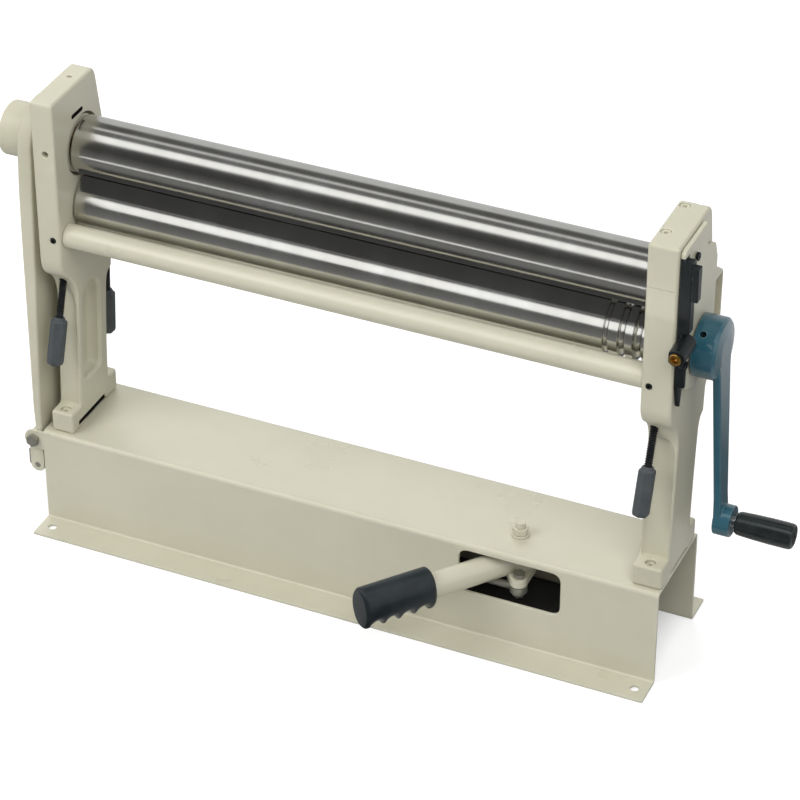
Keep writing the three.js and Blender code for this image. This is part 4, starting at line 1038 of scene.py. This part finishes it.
crank = carved(
    crank,
    prism(circle(0, lower_axis, 10.2, 64), hub_left - 1, measured("lower_roll")[1].x + 1),
    prism(circle(0, crank_z, 5.2, 48), boss_x + 3, boss_end + 2),
    tilted(prism(circle(hub_left + 8, 0, 3.3, 24), 8, 40, "z"), -crank_screw_turn, 0),
)
settle(crank, crank_enamel)
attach(crank, "lower_roll")
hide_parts("crank_arm")
dress("crank_set_screw", black_oxide)

# The crank's grip: a plated spindle screwed into the boss, and a black moulded grip that turns on
# it behind a bright collar.
spindle_low, spindle_high = measured("crank_spindle")
grip_low, grip_high = measured("crank_grip")
collar_left = spindle_low.x + 15.3
bright_plate = bare_metal("bright plate", "d4d4d0", "bcbcb8", 1.0, 0.2)
spindle_profile = softened([
    (spindle_low.x, 4.4), (spindle_low.x, 5), (collar_left, 5), (collar_left, 10),
    (grip_low.x - 0.3, 10), (grip_low.x - 0.3, 5), (spindle_high.x, 5), (spindle_high.x, 4.2),
], 0.7, closed=False, steps=3)
spindle = settle(turned("grip_spindle", spindle_profile, (0, crank_z), sides=64), bright_plate)
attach(spindle, "lower_roll")
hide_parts("crank_spindle")

grip_gloss = moulded("glossy grip plastic", "262b2b", "1e2323", 0.22, 0.004, 0.05, 0.4)
grip_length = grip_high.x - grip_low.x
neck = ((0, 5.2), (0, 9.6), (0.5, 10.8), (1.8, 11.5), (3.5, 11.8), (grip_length * 0.3, 12.5),
        (grip_length * 0.6, 12.95))
tip = ((8, 13), (3.2, 12.8), (1.2, 12.0), (0.3, 10.8), (0, 9.4), (0, 2.2), (6.5, 2.2), (6.5, 5.2))
grip_profile = [(grip_low.x + along, radius) for along, radius in neck]
grip_profile += [(grip_high.x - back, radius) for back, radius in tip]
grip_piece = turned("turning_grip", grip_profile, (0, crank_z), sides=96, ring_shaped=True)
settle(grip_piece, grip_gloss)
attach(grip_piece, "crank_grip")
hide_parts("crank_grip")

# The swing arm: a tapered plate with a round head outside the left frame. A boss is welded on
# outside and a bored nose inside, which holds the upper roll's journal in its bush. Its foot hinges
# in the base's ears, and two prongs below take the link.
arm_low, arm_high = measured("swing_arm")
arm_inner = base_left - 3
arm_outer = arm_inner - 16
arm_head = 42
boss_radius = 28
arm_front = base_front + sheet + 0.3
arm_rear = base_rear - sheet - 0.3

line = [(arm_front, hinge_z), (arm_rear, hinge_z), (arm_rear, hinge_z + 40)]
line += [(arm_head, upper_axis - 30)]
line += arc(0, upper_axis, arm_head, -5.4, 185.4, 40)
line += [(arm_front, hinge_z + 40)]
arm_outline = softened(line, 3)

plate = slab("arm_plate", arm_outline, rounded_ends(arm_outer, arm_inner, 2.4))
wedge = [
    (arm_outer - 30, 40), (arm_inner - 6, 40), (arm_inner - 6, hinge_z),
    (arm_outer, upper_axis - 28), (arm_outer - 30, upper_axis - 28),
]
swing_arm = carved(plate, prism(wedge, -90, 90, "y"))
boss_face = arm_low.x
boss_line = softened([
    (boss_face, 24), (boss_face, boss_radius), (arm_outer - 3, boss_radius),
    (arm_outer + 1.5, boss_radius + 3.5), (arm_outer + 3, boss_radius + 3.5),
], 2.2, closed=False)
nose_line = softened([
    (arm_inner - 3, 33), (arm_inner - 1.2, 33), (arm_inner + 2, 30), (arm_high.x, 30),
    (arm_high.x, 27),
], 1.2, closed=False)
barrel_line = [(arm_front, 7), (arm_front, 8), (arm_rear, 8), (arm_rear, 7)]
barrel_line = softened(barrel_line, 0.6, closed=False)
foot_bar = rounded_box(arm_front, arm_rear, hinge_z - 4, hinge_z + 8, 1.2, 3)
link_y = pivot[1] - 21.99
link_z = lever_z - 19.5
prongs = []
for near in (-11, 6):
    strip = arc(hinge_x, hinge_z, 8, 0, 180, 14) + arc(hinge_x, link_z, 8, 180, 360, 14)
    stations = rounded_ends(link_y + near, link_y + near + 5, 0.6, 2)
    prongs.append(slab("prong", strip, stations, "y"))
swing_arm = welded(
    swing_arm,
    turned("boss", boss_line, (0, upper_axis), sides=96),
    turned("nose", nose_line, (0, upper_axis), sides=96),
    turned("barrel", barrel_line, (hinge_x, hinge_z), "y", 48),
    slab("foot", foot_bar, [(hinge_x, 0), (arm_inner, 0)]),
    *prongs,
)
swing_arm = carved(
    swing_arm,
    prism(circle(0, upper_axis, 24.3, 72), -351, -300),
    prism(circle(hinge_x, hinge_z, 4.2, 32), -80, 80, "y"),
    prism(circle(hinge_x, link_z, 3.2, 24), link_y - 20, link_y + 20, "y"),
)
settle(swing_arm, cast_enamel)
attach(swing_arm, "swing_arm")
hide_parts("swing_arm")
for name in ("arm_hinge_pin", "arm_hinge_nut", "arm_tail_pin"):
    dress(name, zinc_plate)

# The release lever: an oval steel tube welded to a hub that turns under the base's top, with a lug
# for the link. The painted tube comes out through the slot and ends in a moulded finger grip.
lever_turn = radians(-128.5)
lever_way = Matrix.Translation((*pivot, lever_z)) @ Matrix.Rotation(lever_turn, 4, "Z")
tube_end = 168


def oval_tube(name, half_width, half_depth, start, end):
    return slab(name, oval(half_width, half_depth), rounded_ends(start, end, 1, 3))


hub_line = softened([(-15, 15), (-15, 16.5), (15, 16.5), (15, 15)], 1, closed=False)
lever = turned("lever_tube", hub_line, (0, 0), "z", 72)
lug_angle = radians(-70) - lever_turn
lug = (23.4 * cos(lug_angle), 23.4 * sin(lug_angle))
lug_lead = degrees(lug_angle)
lug_line = arc(0, 0, 16.4, lug_lead + 70, lug_lead + 290, 24)
lug_line += arc(*lug, 9, lug_lead - 70, lug_lead + 70, 12)
lever = welded(
    lever,
    oval_tube("tube", 12, 14, 2, tube_end),
    slab("lug", lug_line, rounded_ends(-15, -6, 0.8, 2), "z"),
)
lever = carved(
    lever,
    prism(circle(0, 0, 4.7, 40), -16, 16, "z"),
    prism(circle(0, 0, 10, 48), -16, -7, "z"),
    prism(circle(*lug, 4.2, 28), -16, -5, "z"),
)
lever.data.transform(lever_way)
settle(lever, sheet_enamel)
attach(lever, "release_lever")
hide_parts("release_lever")

lever_plastic = moulded("lever grip plastic", "262d31", "1e2529", 0.34, 0.0012, 0.3, 0.8, 0.35)
grip_start = 102
grip_end = 180


def grip_rings():
    """Rings along the grip: an oval that swells, with a waved underside for four fingers."""
    count = 110
    fingers = 4
    first = grip_start + 5
    pitch = (grip_end - grip_start - 10) / fingers
    rings = []
    for i in range(count + 1):
        x = grip_start + (grip_end - grip_start) * i / count
        along = min(x - grip_start, grip_end - x)
        ease = 1 - 0.13 * max(0, 1 - along / 3.5) ** 2
        wave = 0
        if first < x < first + fingers * pitch:
            wave = 8 * sin(pi * ((x - first) % pitch) / pitch) ** 0.8
        ring = []
        for a, b in oval(17.6 * ease, 23 * ease, 64):
            depth = max(0, -b / 23 - 0.15) / 0.85
            ring.append((x, a, b + wave * depth))
        rings.append(ring)
    return rings


lever_grip = loft("finger_grip", grip_rings())
lever_grip = carved(lever_grip, prism(oval(12.3, 14.3), grip_start - 2, tube_end + 0.3))
lever_grip.data.transform(lever_way)
settle(lever_grip, lever_plastic, 50)
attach(lever_grip, "release_lever")
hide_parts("lever_grip")

# The pivot: a bolt from below with its spacer, and a washer and a nut on the base's top. The nut
# and the bolt's end were painted over with the base.
dress("pivot_bolt", sheet_enamel)
dress("pivot_spacer", zinc_plate)
dress("pivot_washer", sheet_enamel)
dress("pivot_nut", sheet_enamel, 0.5)

# The link under the base's top: a plated rod with an eye at the lever and a slotted blade at the
# swing arm's tail, held to the lever's lug by a small bolt and nut.
dress("link_rod", zinc_plate)
dress("link_pin", zinc_plate, 0.5)
dress("link_nut", zinc_plate, 0.4)

# The studio: a pale floor that fades to white, with painted shade under the base where its colour
# is near black, three large soft lamps, and a tunnel round the rolls that only mirrors see, with
# the dark and bright strips of ground steel.
floor_finish, tree, surface = blank_finish("studio floor")
spot = node(tree, "SeparateXYZ", {0: node(tree, "TexCoord").outputs["Object"]}).outputs
base_sides = ((0, base_left, base_right, 0.09), (1, base_low.y, base_high.y, 0.012))
beside = []
for axis, low, high, fade in base_sides:
    middle = (low + high) / 2 * MM + datum[axis]
    half = (high - low) / 2 * MM
    away = maths(tree, "ABSOLUTE", maths(tree, "SUBTRACT", spot[axis], middle))
    beside.append(spread(tree, away, half - fade, half - 0.004))
open_floor = maths(tree, "MAXIMUM", *beside)
feed(tree, surface, {
    # Painted shade: the floor's colour drops to near black under the base, for the shade in the
    # channel.
    "Base Color": blend_colour(tree, open_floor, (0.05, 0.05, 0.05, 1), (0.55, 0.55, 0.55, 1)),
    "Roughness": 0.9,
})
rays = node(tree, "LightPath").outputs
seen = maths(tree, "MULTIPLY", rays["Is Camera Ray"], open_floor)
shine = maths(tree, "MULTIPLY", seen, 0.62)
glow = node(tree, "Emission", {"Color": (1, 1, 1, 1), "Strength": shine})
both = node(tree, "AddShader", {0: surface.outputs[0], 1: glow.outputs[0]})
feed(tree, tree.nodes["Material Output"], {"Surface": both.outputs[0]})


def stage_sheet(name, points, faces, finish):
    """An object of the studio, made of bare faces in metres."""
    mesh = bpy.data.meshes.new(name)
    mesh.from_pydata(points, [], faces)
    mesh.materials.append(finish)
    return linked(name, mesh)


floor_corners = [(-9, -9, 0), (9, -9, 0), (9, 9, 0), (-9, 9, 0)]
floor = stage_sheet("studio_floor", floor_corners, [(0, 1, 2, 3)], floor_finish)


def glowing(name, strength):
    """A finish that only shines, and the emission node in it."""
    finish, tree, surface = blank_finish(name)
    tree.nodes.remove(surface)
    glow = node(tree, "Emission", {"Color": (1, 1, 1, 1), "Strength": strength})
    feed(tree, tree.nodes["Material Output"], {"Surface": glow.outputs[0]})
    return finish, tree, glow


# Angles round the upper roll's axis, from the front upwards, and the light that comes from there.
strips = [
    (-68, 0.03), (-54, 0.06), (-47, 0.2), (-34, 0.24), (-22, 0.2), (-6, 0.16), (4, 0.12),
    (20, 0.06), (44, 0.08), (50, 0.3), (55, 1.5), (76, 1.5), (79, 0.2), (88, 0.16), (97, 0.2),
    (100, 0.9), (106, 0.9), (109, 0.2), (116, 0.11), (134, 0.14), (144, 0.75), (170, 0.65),
    (212, 0.75), (232, 0.12), (248, 0.1),
]
screen_low, screen_high = strips[0][0], strips[-1][0]
brightest = max(level for _, level in strips)
screen_finish, tree, glow = glowing("studio screen", brightest)
ramp = node(tree, "ValToRGB", {0: node(tree, "Attribute", attribute_name="turn").outputs["Fac"]})
feed(tree, glow, {"Color": ramp.outputs[0]})
while len(ramp.color_ramp.elements) < len(strips):
    ramp.color_ramp.elements.new(0.5)
for element, (angle, level) in zip(ramp.color_ramp.elements, strips):
    element.position = (angle - screen_low) / (screen_high - screen_low)
    element.color = (level / brightest, level / brightest, level / brightest, 1)
screen_radius = 2.4
screen_half = 4.0
screen_steps = 240
above_floor = upper_axis * MM - 0.03
screen_points = []
screen_turns = []
for i in range(screen_steps + 1):
    share = i / screen_steps
    angle = radians(screen_low + (screen_high - screen_low) * share)
    dip = max(-sin(angle), above_floor / screen_radius)
    reach = min(screen_radius, above_floor / dip)
    y = datum.y - reach * cos(angle)
    z = upper_axis * MM + reach * sin(angle)
    for x in (-screen_half, screen_half):
        screen_points.append((x, y, z))
        screen_turns.append(share)
screen_faces = [(2 * i, 2 * i + 1, 2 * i + 3, 2 * i + 2) for i in range(screen_steps)]
screen = stage_sheet("studio_screen", screen_points, screen_faces, screen_finish)
turn_layer = screen.data.attributes.new("turn", "FLOAT", "POINT")
turn_layer.data.foreach_set("value", screen_turns)


def studio_card(name, near, far, level):
    """A glowing strip along the rolls, between two edges given as (y, z)."""
    corners = [(x, datum.y + y * MM, z * MM) for y, z in (near, far) for x in (-0.36, 0.32)]
    return stage_sheet(name, corners, [(0, 1, 3, 2)], glowing(name, level)[0])


# Two narrow cards close to the rolls, which shape the light on the lower roll: a bright one in
# front, and a grey one at the nip that keeps the high lamp strip off its upper side.
front_card = studio_card("front_card", (-65, upper_axis - 11), (-145, upper_axis - 31), 1.5)
nip_card = studio_card("nip_card", (-31, upper_axis - 31.5), (-5, upper_axis - 31.5), 0.06)
for mirror in (screen, front_card, nip_card):
    for ray in ("camera", "diffuse", "shadow", "transmission", "volume_scatter"):
        setattr(mirror, "visible_" + ray, False)


def soft_lamp(name, place, width, height, power):
    aim = Vector((0, 0, 0.2))
    lamp = linked(name, bpy.data.lights.new(name, "AREA"))
    lamp.data.shape = "RECTANGLE"
    lamp.data.size = width
    lamp.data.size_y = height
    lamp.data.energy = power
    lamp.location = place
    lamp.rotation_euler = (aim - lamp.location).to_track_quat("-Z", "Y").to_euler()
    lamp.visible_glossy = False


soft_lamp("lamp_key", (1.25, -1.35, 2.45), 2.0, 1.6, 42)
soft_lamp("lamp_left", (-1.5, -1.6, 2.0), 1.8, 1.4, 36)
soft_lamp("lamp_back", (-1.4, 1.9, 2.1), 2.0, 1.6, 36)

world = bpy.data.worlds.new("studio")
bpy.context.scene.world = world
world.use_nodes = True
tree = world.node_tree
rays = node(tree, "LightPath").outputs
seen = maths(tree, "MAXIMUM", rays["Is Camera Ray"], rays["Is Glossy Ray"])
seen = maths(tree, "MAXIMUM", seen, rays["Is Transmission Ray"])
strength = spread(tree, seen, 0, 1, 0.33, 1.0)
feed(tree, tree.nodes["Background"], {"Color": (1, 1, 1, 1), "Strength": strength})
bpy.context.scene.view_settings.view_transform = "Standard"
